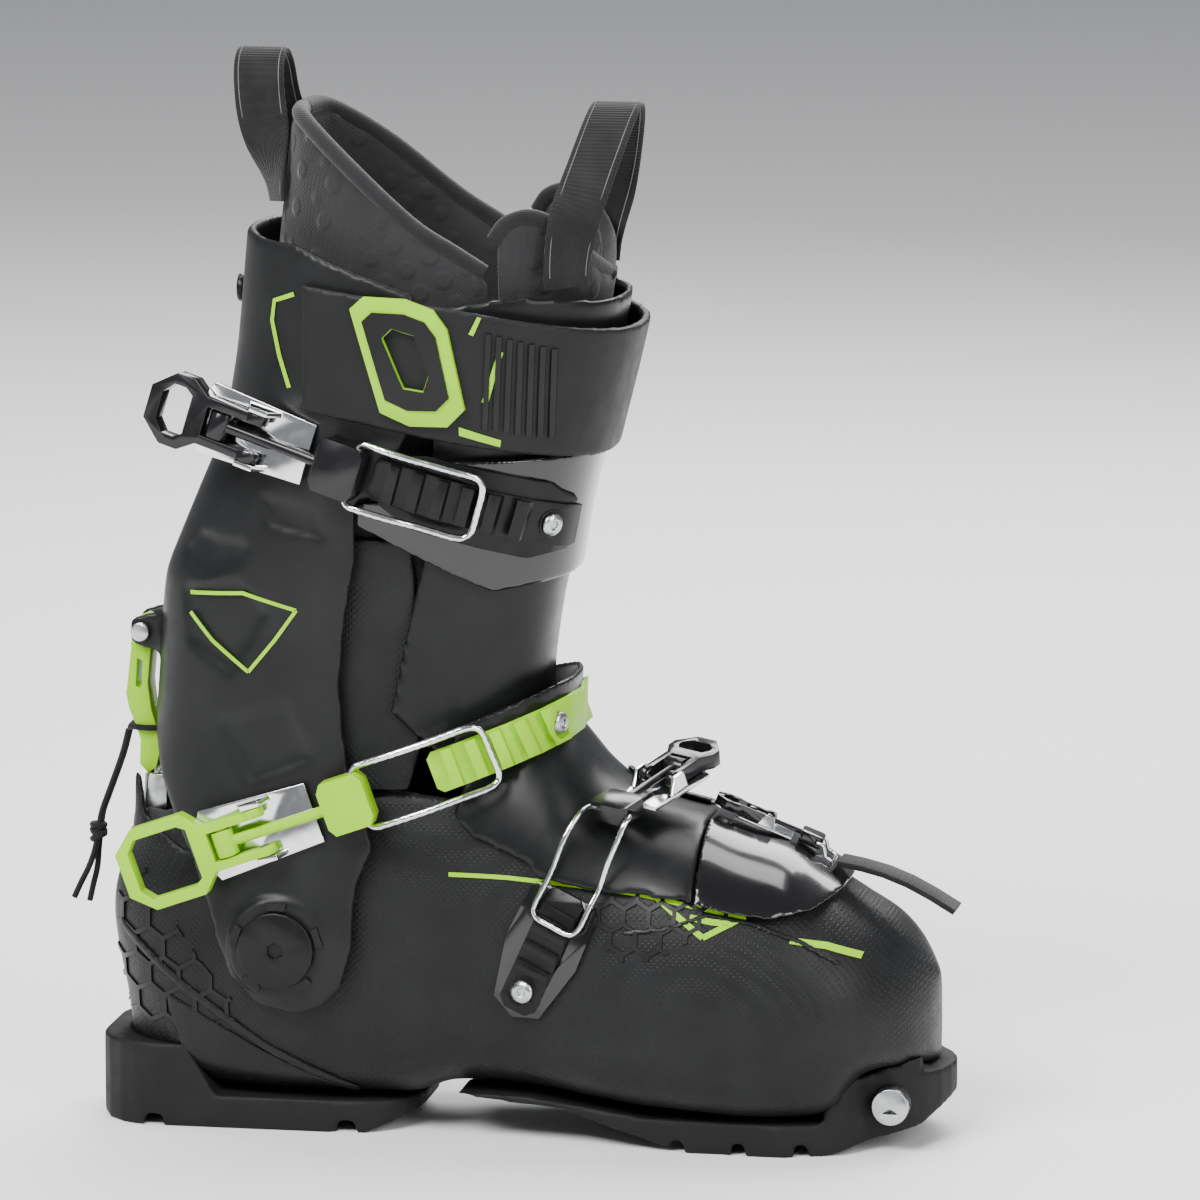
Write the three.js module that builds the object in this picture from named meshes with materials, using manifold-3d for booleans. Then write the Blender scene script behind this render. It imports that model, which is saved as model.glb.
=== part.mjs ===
// Alpine touring boot, right foot. Millimetres. +X towards the toe, +Y towards the inner side of the foot,
// +Z up. The origin is on the ground at the centre of the heel's tread.
import * as THREE from 'three';
import { mergeVertices } from 'three/addons/utils/BufferGeometryUtils.js';
import Module from 'manifold-3d';

const wasm = await Module();
wasm.setup();

// ---- Driving dimensions -------------------------------------------------------------------------------
const soleLength = 307;
const heelBack = -35;
const toeFront = heelBack + soleLength;
const toeSoleWidth = 69;
const heelSoleWidth = 70;
const ballHalfWidth = 55;
const ankleHalfWidth = 45;
const cuffTopHalfWidth = 58;
const cuffTopHeight = 322;
const pivotFromHeel = 72;
const pivotZ = 70;
const pivotBore = 6;
const shellWall = 3.2;
const cuffWall = 3.5;
const tongueWall = 3;
const linerWall = 5;
const gap = 0.35;
const soleTop = 11.6;
const wireRadius = 1.5;
const screwRadius = 4.2;
const cordDiameter = 2.2;
const loopWidth = 20;
const strapThickness = 3.2;

// Lengthwise places follow the sole length; the heel end stays where it is.
const lengthScale = soleLength / 307;
const heightScale = (cuffTopHeight - pivotZ) / (322 - 70);
const lengthwise = (x) => heelBack + (x - heelBack) * lengthScale;
const upward = (z) => (z < 70 ? (z * pivotZ) / 70 : pivotZ + (z - 70) * heightScale);
const pivotX = heelBack + pivotFromHeel * lengthScale;

// ---- Smooth values along a list of [place, value] pairs -----------------------------------------------
function along(pairs) {
  const slope = pairs.map(([t, v], i) => {
    const [t0, v0] = pairs[Math.max(i - 1, 0)];
    const [t1, v1] = pairs[Math.min(i + 1, pairs.length - 1)];
    return (v1 - v0) / (t1 - t0 || 1);
  });
  return (t) => {
    if (t <= pairs[0][0]) return pairs[0][1];
    if (t >= pairs[pairs.length - 1][0]) return pairs[pairs.length - 1][1];
    const i = pairs.findIndex(([next]) => next > t) - 1;
    const [t0, v0] = pairs[i];
    const [t1, v1] = pairs[i + 1];
    const d = t1 - t0;
    const u = (t - t0) / d;
    const a = (1 + 2 * u) * (1 - u) ** 2;
    const b = u * (1 - u) ** 2;
    return a * v0 + b * d * slope[i] + (1 - a) * v1 - u * u * (1 - u) * d * slope[i + 1];
  };
}

// ---- Form of the foot part: one upright ring across the foot at each x --------------------------------
const onLength = (pairs) => along(pairs.map(([x, v]) => [lengthwise(x), v]));
const footStart = heelBack + 2;
const footEnd = toeFront - 6;
const heelRound = 34;
const toeRound = 36;
const ball = ballHalfWidth;
const ankle = ankleHalfWidth;
const footHalfWidth = onLength([
  [-35, ankle - 11], [0, ankle - 7], [37, ankle], [75, ankle], [110, ankle], [150, ball - 4],
  [185, ball], [215, ball - 1], [240, ball - 6], [258, ball - 10], [272, ball - 12],
]);
const footCentre = onLength([[-35, 0], [60, 0], [110, 0], [190, -1], [240, 2], [272, 5]]);
const footTop = onLength([
  [-33, 132], [60, 150], [118, 152], [130, 146], [137, 139], [145, 129], [155, 121], [165, 116],
  [187, 110], [200, 105], [216, 100], [227, 93], [238, 86], [250, 79], [258, 71], [266, 58],
]);
const footWaist = onLength([[-33, 62], [40, 72], [100, 62], [150, 48], [200, 40], [236, 40], [266, 40]]);
const footBase = onLength([[-33, 12], [80, 12], [95, 17], [125, 17], [150, 14], [170, 12], [232, 12],
  [243, 27], [266, 27]]);
const heelLean = along([[12, 6], [32, 6], [45, 4.5], [57, 2], [70, 0], [76, 0], [84, 1], [90, 3], [99, 6],
  [112, 7], [124, 6]]);
const topPower = 2.5;
const basePower = 3.4;

function footEndFactor(x, grow) {
  const heel = Math.min((x - footStart + grow) / (heelRound + grow), 1);
  const toe = Math.min((footEnd + grow - x) / (toeRound + grow), 1);
  return Math.sqrt(Math.max(1 - (1 - heel) ** 2, 0)) * Math.sqrt(Math.max(1 - (1 - toe) ** 2, 0));
}

function footSection(x, grow) {
  const inside = Math.min(Math.max(x, footStart), footEnd);
  return {
    half: Math.max((footHalfWidth(inside) + grow) * footEndFactor(x, grow), 0.01),
    centre: footCentre(inside),
    top: footTop(inside) + grow,
    waist: footWaist(inside),
    base: footBase(inside) - grow,
  };
}

const leanAt = (x, z) => heelLean(z) * Math.min(Math.max((30 - x) / 63, 0), 1);

function footPoint(x, angle, grow) {
  const s = footSection(x, grow);
  const c = Math.cos(angle);
  const n = Math.sin(angle);
  const power = n > 0 ? topPower : basePower;
  const rise = n > 0 ? s.top - s.waist : s.waist - s.base;
  const y = s.centre + s.half * Math.sign(c) * Math.abs(c) ** (2 / power);
  const z = s.waist + rise * Math.sign(n) * Math.abs(n) ** (2 / power);
  return new THREE.Vector3(x + leanAt(x, z), y, z);
}

function insideFoot(p, grow) {
  const x = p.x - leanAt(p.x, p.z);
  if (x < footStart - grow || x > footEnd + grow) return false;
  const s = footSection(x, grow);
  const up = p.z > s.waist;
  const power = up ? topPower : basePower;
  const rise = up ? s.top - s.waist : s.waist - s.base;
  return (Math.abs(p.y - s.centre) / s.half) ** power + (Math.abs(p.z - s.waist) / rise) ** power < 1;
}

// ---- Form of the leg part: one level ring round the leg at each height --------------------------------
const onHeight = (pairs) => along(pairs.map(([z, v]) => [upward(z), v]));
const topHalf = cuffTopHalfWidth;
const legBack = onHeight([
  [40, -20], [118, -19], [148, -16], [174, -14], [197, -12], [208, -8], [227, 0], [249, 9], [273, 14],
  [289, 16], [322, 19], [370, 24],
]);
const legFrontShape = onHeight([
  [40, 126], [120, 130], [165, 131], [188, 134], [203, 137], [226, 141], [250, 147], [283, 155],
  [322, 163], [370, 170],
]);
const legFront = (z) => lengthwise(legFrontShape(z));
const legHalfWidth = onHeight([
  [40, ankle + 6], [70, ankle + 8], [110, ankle + 5.5], [150, topHalf - 9], [190, topHalf - 8.5],
  [230, topHalf - 6], [270, topHalf - 2], [322, topHalf], [370, topHalf - 3],
]);
const legPower = 2.4;

function legPoint(z, angle, grow) {
  const reach = (legFront(z) - legBack(z)) / 2 + grow;
  const c = Math.cos(angle);
  const n = Math.sin(angle);
  const x = (legFront(z) + legBack(z)) / 2 - reach * Math.sign(c) * Math.abs(c) ** (2 / legPower);
  const y = (legHalfWidth(z) + grow) * Math.sign(n) * Math.abs(n) ** (2 / legPower);
  return new THREE.Vector3(x, -y, z);
}

function insideLeg(p, grow) {
  const middle = (legFront(p.z) + legBack(p.z)) / 2;
  const reach = (legFront(p.z) - legBack(p.z)) / 2 + grow;
  const half = legHalfWidth(p.z) + grow;
  return (Math.abs(p.x - middle) / reach) ** legPower + (Math.abs(p.y) / half) ** legPower < 1;
}

// ---- Solids ---------------------------------------------------------------------------------------------
function toSolid(geometry) {
  const bare = geometry.clone();
  bare.deleteAttribute('normal');
  bare.deleteAttribute('uv');
  const merged = mergeVertices(bare, 1e-4);
  return new wasm.Manifold(new wasm.Mesh({
    numProp: 3,
    vertProperties: new Float32Array(merged.attributes.position.array),
    triVerts: new Uint32Array(merged.index.array),
  }));
}

function toGeometry(solid) {
  const { vertProperties, triVerts } = solid.getMesh();
  const geometry = new THREE.BufferGeometry();
  geometry.setAttribute('position', new THREE.BufferAttribute(new Float32Array(vertProperties), 3));
  geometry.setIndex(new THREE.BufferAttribute(new Uint32Array(triVerts), 1));
  geometry.computeVertexNormals();
  return geometry;
}

// A closed skin over rows of points, with a fan over the first and the last row.
function loft(rows) {
  const count = rows[0].length;
  const middle = (row) => row.reduce((sum, p) => sum.add(p), new THREE.Vector3()).divideScalar(count);
  const points = [...rows.flat(), middle(rows[0]), middle(rows[rows.length - 1])];
  const first = rows.length * count;
  const index = [];
  for (let i = 0; i < count; i += 1) {
    const j = (i + 1) % count;
    for (let r = 0; r < rows.length - 1; r += 1) {
      const a = r * count;
      index.push(a + i, a + j, a + count + i, a + j, a + count + j, a + count + i);
    }
    const last = (rows.length - 1) * count;
    index.push(first, j, i, first + 1, last + i, last + j);
  }
  const geometry = new THREE.BufferGeometry().setFromPoints(points);
  geometry.setIndex(index);
  return toSolid(geometry);
}

const around = 24;
const turn = (count) => Array.from({ length: count }, (_, i) => (2 * Math.PI * i) / count);
const steps = (from, to, count) => Array.from({ length: count + 1 }, (_,
  i) => from + ((to - from) * i) / count);

function footForm(grow, count = around, ends = 5, rows = 11) {
  const heel = steps(0, Math.PI / 2, ends)
    .map((a) => footStart - grow + (heelRound + grow) * (1 - Math.cos(a)));
  const toe = steps(Math.PI / 2, 0, ends).map((a) => footEnd + grow - (toeRound + grow) * (1 - Math.cos(a)));
  const middle = steps(heel[ends], toe[0], rows).slice(1, -1);
  const places = [...heel, ...middle, ...toe];
  return loft(places.map((x) => turn(count).map((a) => footPoint(x, a, grow))));
}

function legForm(grow, low, high, count = around, pitch = 24) {
  const rows = Math.round((high - low) / pitch) + 1;
  return loft(steps(low, high, rows).map((z) => turn(count).map((a) => legPoint(z, a, grow))));
}

const footLayer = (inner, outer) => footForm(outer).subtract(footForm(inner));

// A flat outline, pushed along +Z from low to high, and set in a frame where one is given.
function pushed(outline, low, high) {
  const shape = new THREE.Shape(outline.map(([x, y]) => new THREE.Vector2(x, y)));
  const geometry = new THREE.ExtrudeGeometry(shape, { depth: high - low, bevelEnabled: false });
  return geometry.translate(0, 0, low);
}

const prism = (outline, low, high, frame = new THREE.Matrix4()) => toSolid(pushed(outline, low, high)
  .applyMatrix4(frame));

// A side outline of [x, z] points, pushed across the boot from y = low to y = high.
const across = (outline, low = -90, high = 90) => toSolid(pushed(outline, -high, -low).rotateX(Math.PI / 2));

// The same outline given at the base size, so that it follows the boot's length and height.
const fitted = (outline) => outline.map(([x, z]) => [lengthwise(x), upward(z)]);

function block(x0, x1, y0, y1, z0, z1) {
  return prism([[x0, y0], [x1, y0], [x1, y1], [x0, y1]], z0, z1);
}

// A round bar along Y.
function bar(x, z, radius, y0, y1, sides = 20) {
  const geometry = new THREE.CylinderGeometry(radius, radius, y1 - y0, sides);
  geometry.translate(x, (y0 + y1) / 2, z);
  return toSolid(geometry);
}

function tube(points, radius, count, sides = 8, closed = false) {
  const path = new THREE.CatmullRomCurve3(points, closed, 'centripetal');
  const shape = new THREE.Shape(turn(sides).map((a) => new THREE.Vector2(radius * Math.cos(a),
    radius * Math.sin(a))));
  return toSolid(new THREE.ExtrudeGeometry(shape, { steps: count, bevelEnabled: false, extrudePath: path }));
}

// A flat band along points; wide gives the direction across it, one for all points or one for each.
function band(points, wide, width, thickness) {
  const rows = points.map((p, i) => {
    const ahead = points[Math.min(i + 1, points.length - 1)];
    const behind = points[Math.max(i - 1, 0)];
    const run = ahead.clone().sub(behind).normalize();
    const aim = Array.isArray(wide) ? wide[i] : wide;
    const side = aim.clone().addScaledVector(run, -aim.dot(run)).normalize();
    const up = new THREE.Vector3().crossVectors(run, side);
    const corner = (s, u) => p.clone().addScaledVector(side, (s * width) / 2).addScaledVector(up,
      (u * thickness) / 2);
    return [corner(1, 1), corner(-1, 1), corner(-1, -1), corner(1, -1)];
  });
  return loft(rows);
}

// ---- Scene ----------------------------------------------------------------------------------------------
const group = new THREE.Group();
const finishes = {
  shell: [0x2b2d2f, 0.55, 0],
  gloss: [0x0b0b0c, 0.18, 0],
  tongue: [0x242527, 0.42, 0],
  green: [0xa4cc33, 0.4, 0],
  chrome: [0xd8dadc, 0.2, 1],
  steel: [0x9a9da0, 0.35, 1],
  rubber: [0x151515, 0.85, 0],
  liner: [0x1a1a1b, 0.95, 0],
  webbing: [0x101011, 0.9, 0],
  plastic: [0x141415, 0.45, 0],
};

function add(name, solid, finish, frame = null) {
  const [color, roughness, metalness] = finishes[finish];
  const material = new THREE.MeshStandardMaterial({ color, roughness, metalness });
  const mesh = new THREE.Mesh(toGeometry(solid), material);
  mesh.name = name;
  (frame ?? group).add(mesh);
}

const vector = (x, y, z) => new THREE.Vector3(x, y, z);

// ---- Lower shell ----------------------------------------------------------------------------------------
const cuffGap = 0.6;
const throatInset = cuffWall + cuffGap + tongueWall + 0.4;
const throatWall = 2.6;
const linerInset = throatInset + throatWall + 3.4 * gap;
const boltHeadRadius = 13.7;
const padRadius = 18;
const padOuter = ankle + 8.2;
const boltStem = pivotBore - gap;

const legSolid = (grow, low, high) => legForm(grow, upward(low), upward(high));
const legWrap = (inner, outer, low, high) => legSolid(outer, low, high).subtract(legSolid(inner, low - 2,
  high + 2));

function throatForm(inset, low, high) {
  const settle = onHeight([[96, -6.2], [125, -throatInset], [230, -throatInset]]);
  const rows = steps(upward(low), upward(high), 5);
  return loft(rows.map((z) => turn(around).map((a) => legPoint(z, a, settle(z) - inset))));
}

const shellOutline = fitted([
  [-60, 124], [-22, 124], [-18, 110], [0, 101], [30, 110], [75, 126], [105, 122], [130, 109],
  [160, 103], [190, 99], [212, 97], [226, 97], [226, 160], [300, 160], [300, 0], [-60, 0],
]);
const throatOutline = fitted([[34, 130], [36, 188], [-40, 188], [-40, 216], [84, 216], [87, 170], [86,
  140], [82, 130]]);
const catchX = lengthwise(-17);
const catchZ = upward(119);
const catchRadius = 2.5;
const slotHalf = 8;

const bores = bar(pivotX, pivotZ, pivotBore, -90, 90, 16);
const catchSlot = across(fitted([[-60, 130], [-60, 102], [-16, 102], [-8, 116], [-6, 130]]), -slotHalf,
  slotHalf);
const lowerShell = footLayer(-shellWall, 0)
  .intersect(across(shellOutline))
  .subtract(bores)
  .subtract(catchSlot);
add('lower_shell', lowerShell, 'shell');

// Guard that closes the throat between the cuff's front edges and the tongue, round behind the leg.
const throatLayer = throatForm(0, 96, 222).subtract(throatForm(throatWall, 94, 224));
add('throat_guard', throatLayer.intersect(across(throatOutline)), 'shell');

// Bar that the walk lever closes against, held by two cheeks inside the spine.
const catchCheeks = across([[catchX - 6, catchZ - 8], [catchX + 5, catchZ - 8], [catchX + 5, catchZ + 4],
  [catchX - 6, catchZ + 4]], -slotHalf - 3, slotHalf + 3)
  .subtract(across([[catchX - 9, catchZ - 9], [catchX + 9, catchZ - 9], [catchX + 9, catchZ + 9],
    [catchX - 9, catchZ + 9]], -slotHalf, slotHalf));
const catchBar = catchCheeks.add(bar(catchX, catchZ, catchRadius, -slotHalf - 1, slotHalf + 1));
add('walk_catch_bar', catchBar.subtract(footLayer(-shellWall - gap, 10)), 'steel');

// ---- Pivot bolts ----------------------------------------------------------------------------------------
for (const [name, side] of [['lateral', -1], ['medial', 1]]) {
  const reach = (near, far) => [Math.min(side * near, side * far), Math.max(side * near, side * far)];
  const bolt = bar(pivotX, pivotZ, boltHeadRadius, ...reach(padOuter + gap, padOuter + 3.4), 20)
    .add(bar(pivotX, pivotZ, boltStem, ...reach(ankle - shellWall, padOuter + 1), 16))
    .add(bar(pivotX, pivotZ, boltStem + 2, ...reach(ankle + 1, ankle + 2.2), 16))
    .subtract(bar(pivotX, pivotZ, 3, ...reach(padOuter + 1.6, padOuter + 5), 6));
  add(`pivot_bolt_${name}`, bolt, 'plastic');
}

// ---- Soles ----------------------------------------------------------------------------------------------
const rounded = (x0, x1, half0, half1, corner) => {
  const quarter = (cx, cy, from) => steps(from, from + Math.PI / 2, 5)
    .map((a) => [cx + corner * Math.cos(a), cy + corner * Math.sin(a)]);
  return [
    ...quarter(x1 - corner, half1 - corner, 0), ...quarter(x0 + corner, half0 - corner, Math.PI / 2),
    ...quarter(x0 + corner, -half0 + corner, Math.PI), ...quarter(x1 - corner, -half1 + corner, -Math.PI / 2),
  ];
};
const heelSoleEnd = lengthwise(83);
const heelHalf = heelSoleWidth / 2;
const ledgeTop = 30;
const treadDepth = 4;
const insertRadius = 6.5;
const insertDepth = 8;

const bareFoot = footForm(gap);
const grooveAcross = (x, width) => block(x, x + width, -70, 70, -5, treadDepth);
const grooveAlong = (y, x0, x1) => block(x0, x1, y - 2, y + 2, -5, treadDepth - 1);

let heelSole = prism(rounded(heelBack, heelSoleEnd, heelHalf, heelHalf - 1, 24), 0, ledgeTop)
  .intersect(across([[heelBack - 5, 2], [heelBack + 4, 0], [heelSoleEnd - 18, 0], [heelSoleEnd, 7],
    [heelSoleEnd + 1, soleTop], [10, soleTop], [-2, ledgeTop + 2], [heelBack - 5, ledgeTop + 2]]))
  .subtract(bareFoot)
  .subtract(block(heelBack - 1, heelBack + 3.6, -13.3, 13.3, 9.7, 22.3));
for (const x of [-16, 54]) heelSole = heelSole.subtract(grooveAcross(lengthwise(x), 7));
for (const y of [-14, 14]) heelSole = heelSole.subtract(grooveAlong(y, lengthwise(-9), heelSoleEnd + 5));
add('heel_sole', heelSole, 'rubber');

const heelPlate = block(heelBack + 0.2, heelBack + 3.2, -13, 13, 10, 22)
  .subtract(block(heelBack - 1, heelBack + 2, -10, -6, 12, 24))
  .subtract(block(heelBack - 1, heelBack + 2, 6, 10, 12, 24));
add('heel_tech_insert', heelPlate, 'steel');

const toeSoleStart = lengthwise(98);
const toeHalf = toeSoleWidth / 2;
const insertX = lengthwise(253);
const insertZ = 17;
const toePlan = [
  ...steps(-Math.PI / 2, Math.PI / 2, 12).map((a) => [toeFront - 26 + 26 * Math.cos(a),
    3 + (toeHalf - 4) * Math.sin(a)]),
  [insertX - 16, toeHalf + 3], [lengthwise(215), ball - 10], [lengthwise(180), ball - 12],
  [lengthwise(145), ankle - 5], [toeSoleStart, ankle - 9],
];
const toeOutline = [...toePlan, ...toePlan.slice(13).reverse().map(([x, y]) => [x, -y])];
const toeSideOutline = fitted([
  [98, 16], [120, 14], [137, 13], [155, 7], [173, 2], [180, 0], [232, 0], [246, 4], [262, 8], [272, 16],
  [274, 27], [262, 27], [262, 32], [230, 32], [230, soleTop], [166, soleTop], [150, 13.6], [125, 16.6],
  [98, 16.6],
]);
let toeSole = prism(toeOutline, -1, 32).intersect(across(toeSideOutline)).subtract(bareFoot);
for (const x of [150, 176, 198, 220, 244]) toeSole = toeSole.subtract(grooveAcross(lengthwise(x), 5));
toeSole = toeSole.subtract(grooveAlong(-18, lengthwise(160), lengthwise(250)));
toeSole = toeSole.subtract(grooveAlong(18, lengthwise(160), lengthwise(250)));
const insertFace = { lateral: -(toeHalf - 1), medial: toeHalf + 3.5 };
for (const [name, face] of Object.entries(insertFace)) {
  const out = Math.sign(face);
  const reach = (near, far) => [Math.min(near, far), Math.max(near, far)];
  toeSole = toeSole.subtract(bar(insertX, insertZ, insertRadius + gap,
    ...reach(face - out * (insertDepth + gap), face + out * 30), 24));
  const cone = new THREE.ConeGeometry(3.6, 5, 20).rotateX(out > 0 ? -Math.PI / 2 : Math.PI / 2);
  const dimple = toSolid(cone.translate(insertX, face - out * 2.4, insertZ));
  const insert = bar(insertX, insertZ, insertRadius, ...reach(face - out * insertDepth, face), 24)
    .subtract(dimple);
  add(`toe_tech_insert_${name}`, insert, 'steel');
}
add('toe_sole', toeSole, 'rubber');

// ---- Inside ---------------------------------------------------------------------------------------------
const boardTop = 22;
const bootBoard = footForm(-shellWall - gap).intersect(block(lengthwise(-20), lengthwise(250), -80, 80, 0,
  boardTop));
add('boot_board', bootBoard, 'plastic');

const linerFootOutline = fitted([[-60, boardTop + gap], [-60, 112], [-12, 112], [40, 116], [70, 118], [110,
  118],
  [140, 112], [170, 105], [300, 105], [300, boardTop + gap]]);
const throatRoom = block(lengthwise(20), lengthwise(106), -90, 90, upward(97), 400)
  .subtract(throatForm(throatWall + gap, 90, 224));
const softForm = (grow) => footForm(grow, 16, 3, 9);
const linerFoot = softForm(-shellWall - 0.8).subtract(softForm(-shellWall - 0.8 - linerWall)
  .intersect(block(-100, 400, -90, 90, boardTop + gap + linerWall, 400)))
  .intersect(across(linerFootOutline))
  .intersect(footForm(-shellWall - gap))
  .subtract(throatRoom)
  .subtract(bar(pivotX, pivotZ, pivotBore + 4, -90, -(ankle - shellWall - 2)))
  .subtract(bar(pivotX, pivotZ, pivotBore + 4, ankle - shellWall - 2, 90))
  .subtract(block(catchX - 8, catchX + 7, -slotHalf - 4, slotHalf + 4, catchZ - 10, 400));
add('liner_foot', linerFoot, 'liner');

// ---- Tongue and toe cover -------------------------------------------------------------------------------
const tongueRise = 0.5;
const coverRise = tongueRise + tongueWall + 1.2;
const tongueOuter = footLayer(tongueRise, tongueRise + tongueWall);
const tongueLowerOutline = fitted([[146, 150], [136, 138], [118, 126], [98, 118], [105, 111], [127, 102],
  [128, 98], [150, 94], [164, 93], [185, 91], [185, 150]]);
add('tongue_lower', tongueOuter.intersect(across(tongueLowerOutline)), 'gloss');

const coverOutline = fitted([[185.5, 91], [197, 88], [212, 86], [226, 88], [236, 93], [238, 100], [238, 150],
  [185.5, 150]]);
add('toe_cover', footLayer(tongueRise, coverRise).intersect(across(coverOutline)), 'gloss');

const tongueInset = cuffWall + cuffGap;
const tongueUpperOutline = fitted([[76, 154], [81, 178], [88, 209], [92, 250], [95, 300], [125, 304],
  [180, 296], [180, 156], [128, 154], [100, 154]]);
add('tongue_upper', legWrap(-tongueInset - tongueWall, -tongueInset, 140, 312)
  .intersect(across(tongueUpperOutline)),
  'tongue');

// ---- Cuff -----------------------------------------------------------------------------------------------
const cuffOutline = fitted([
  [-40, 330], [30, 321], [45, 320], [58, 315], [88, 305], [88, 262], [74, 232], [66, 231], [65, 209],
  [61, 187], [59, 165], [60, 150], [62, 135], [68, 118], [71, 107], [65, 92], [64, 72], [60, 57],
  [52, 49], [42, 46], [29, 49], [19, 58], [14, 71], [10, 84], [3.6, 100], [-3.4, 112], [-9.5, 125],
  [-14, 140], [-15, 149], [-40, 149],
]);
const leverPinX = lengthwise(-21);
const leverPinZ = upward(174.7);
const leverHalf = 6.5;
const earWall = 3;
const leverPinRadius = 2;
const earOutline = [[leverPinX - 4.5, leverPinZ - 4], [leverPinX, leverPinZ - 6], [leverPinX + 12,
  leverPinZ - 9],
  [leverPinX + 12, leverPinZ + 9], [leverPinX, leverPinZ + 6], [leverPinX - 4.5, leverPinZ + 4]];
const ears = across(earOutline, -leverHalf - gap - earWall, -leverHalf - gap)
  .add(across(earOutline, leverHalf + gap, leverHalf + gap + earWall))
  .subtract(legSolid(-cuffWall, 38, 326))
  .subtract(bar(leverPinX, leverPinZ, leverPinRadius + 0.1, -20, 20));
const pads = bar(pivotX, pivotZ, padRadius, -padOuter, padOuter, 36)
  .subtract(bar(pivotX, pivotZ, padRadius + 1, -padOuter + 3, padOuter - 3, 36));
const cuffShell = legWrap(-cuffWall, 0, 40, 324)
  .intersect(across(cuffOutline))
  .add(pads)
  .add(ears)
  .subtract(bores);
add('cuff_shell', cuffShell, 'shell');

const flapOutline = fitted([[89, 246], [82, 246], [74.8, 231.2], [66.5, 230.2], [66.2, 222], [112, 198],
  [180, 206], [180, 246]]);
add('cuff_flap', legWrap(-cuffWall, 0, 190, 255).intersect(across(flapOutline)), 'gloss');

// ---- Liner in the leg -----------------------------------------------------------------------------------
const linerSplit = 112;
const linerOutline = fitted([[-40, 158], [-3, 154], [15, 137], [37, 130], [60, 130], [90, 140],
  [linerSplit, 152],
  [linerSplit, 310], [100, 318], [84, 328], [60, 348], [40, 363], [28, 363], [-40, 352]]);
const linerTube = legForm(-linerInset, upward(124), upward(370), 18, 30)
  .subtract(legForm(-linerInset - linerWall, upward(122), upward(372), 18, 30));
const linerLeg = linerTube.intersect(across(linerOutline));
add('liner_leg', linerLeg, 'liner');
const linerTongueOutline = fitted([[linerSplit + 0.6, 165], [linerSplit + 0.6, 321], [118, 329], [126, 331],
  [134, 327], [142, 317], [150, 304], [180, 298], [180, 175]]);
add('liner_tongue', linerTube.intersect(across(linerTongueOutline)), 'liner');

// ---- Frames on the boot's surface -----------------------------------------------------------------------
// A frame's X runs along a strap, its Z points away from the boot, and its Y lies across the strap.
function frameAt(origin, forward, outward) {
  const x = forward.clone().normalize();
  const z = outward.clone().addScaledVector(x, -outward.dot(x)).normalize();
  const y = new THREE.Vector3().crossVectors(z, x);
  return new THREE.Matrix4().makeBasis(x, y, z).setPosition(origin);
}

function groupIn(frame) {
  const holder = new THREE.Group();
  holder.applyMatrix4(frame);
  group.add(holder);
  return holder;
}

// Side point on a form at a given x and z.
function sidePoint(inside, x, z, side, grow) {
  let low = 0;
  let high = 120;
  for (let i = 0; i < 30; i += 1) {
    const middle = (low + high) / 2;
    if (inside(new THREE.Vector3(x, side * middle, z), grow)) low = middle;
    else high = middle;
  }
  return new THREE.Vector3(x, side * low, z);
}

// Height of a form above a frame's XY plane.
function drop(frame, inside, x, y, grow) {
  for (let z = 45; z > -70; z -= 0.25) {
    if (inside(new THREE.Vector3(x, y, z).applyMatrix4(frame), grow)) return z;
  }
  return -70;
}

// Frame standing square on a form, above a place in another frame.
function standingFrame(frame, inside, x, y, grow) {
  const point = (px, py) => vector(px, py, drop(frame, inside, px, py, grow)).applyMatrix4(frame);
  const lengthways = point(x + 3, y).sub(point(x - 3, y));
  const crossways = point(x, y + 3).sub(point(x, y - 3));
  return frameAt(point(x, y), lengthways, vector(0, 0, 0).crossVectors(lengthways, crossways));
}

// Lowest height in a frame that clears a form over a span of X, to both sides of its middle line.
function clearance(frame, inside, x0, x1, half, grow) {
  const heights = steps(x0, x1, 6).flatMap((x) => [-half, 0, half].map((y) => drop(frame, inside, x, y,
    grow)));
  return Math.max(...heights);
}

// ---- Buckles --------------------------------------------------------------------------------------------
const pinHeight = 6.2;
const pinRadius = 2;
const pinBore = pinRadius + 0.3;
const armEnd = 4.1;
const linkReach = 13;
const armInner = 5.3;
const armOuter = 8.6;
const earInner = 9;
const earOuter = 11;
const rodRadius = 2;
const bailHalf = 11.5;
const blockEnd = 42;
const bailLift = 6.6;

const mirrored = (outline) => [...outline, ...outline.map(([x, y]) => [x, -y]).reverse()];

// A round bar along a frame's Y.
const localBar = (x, z, radius, y0, y1, sides = 10) => bar(x, z, radius, y0, y1, sides);

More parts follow.
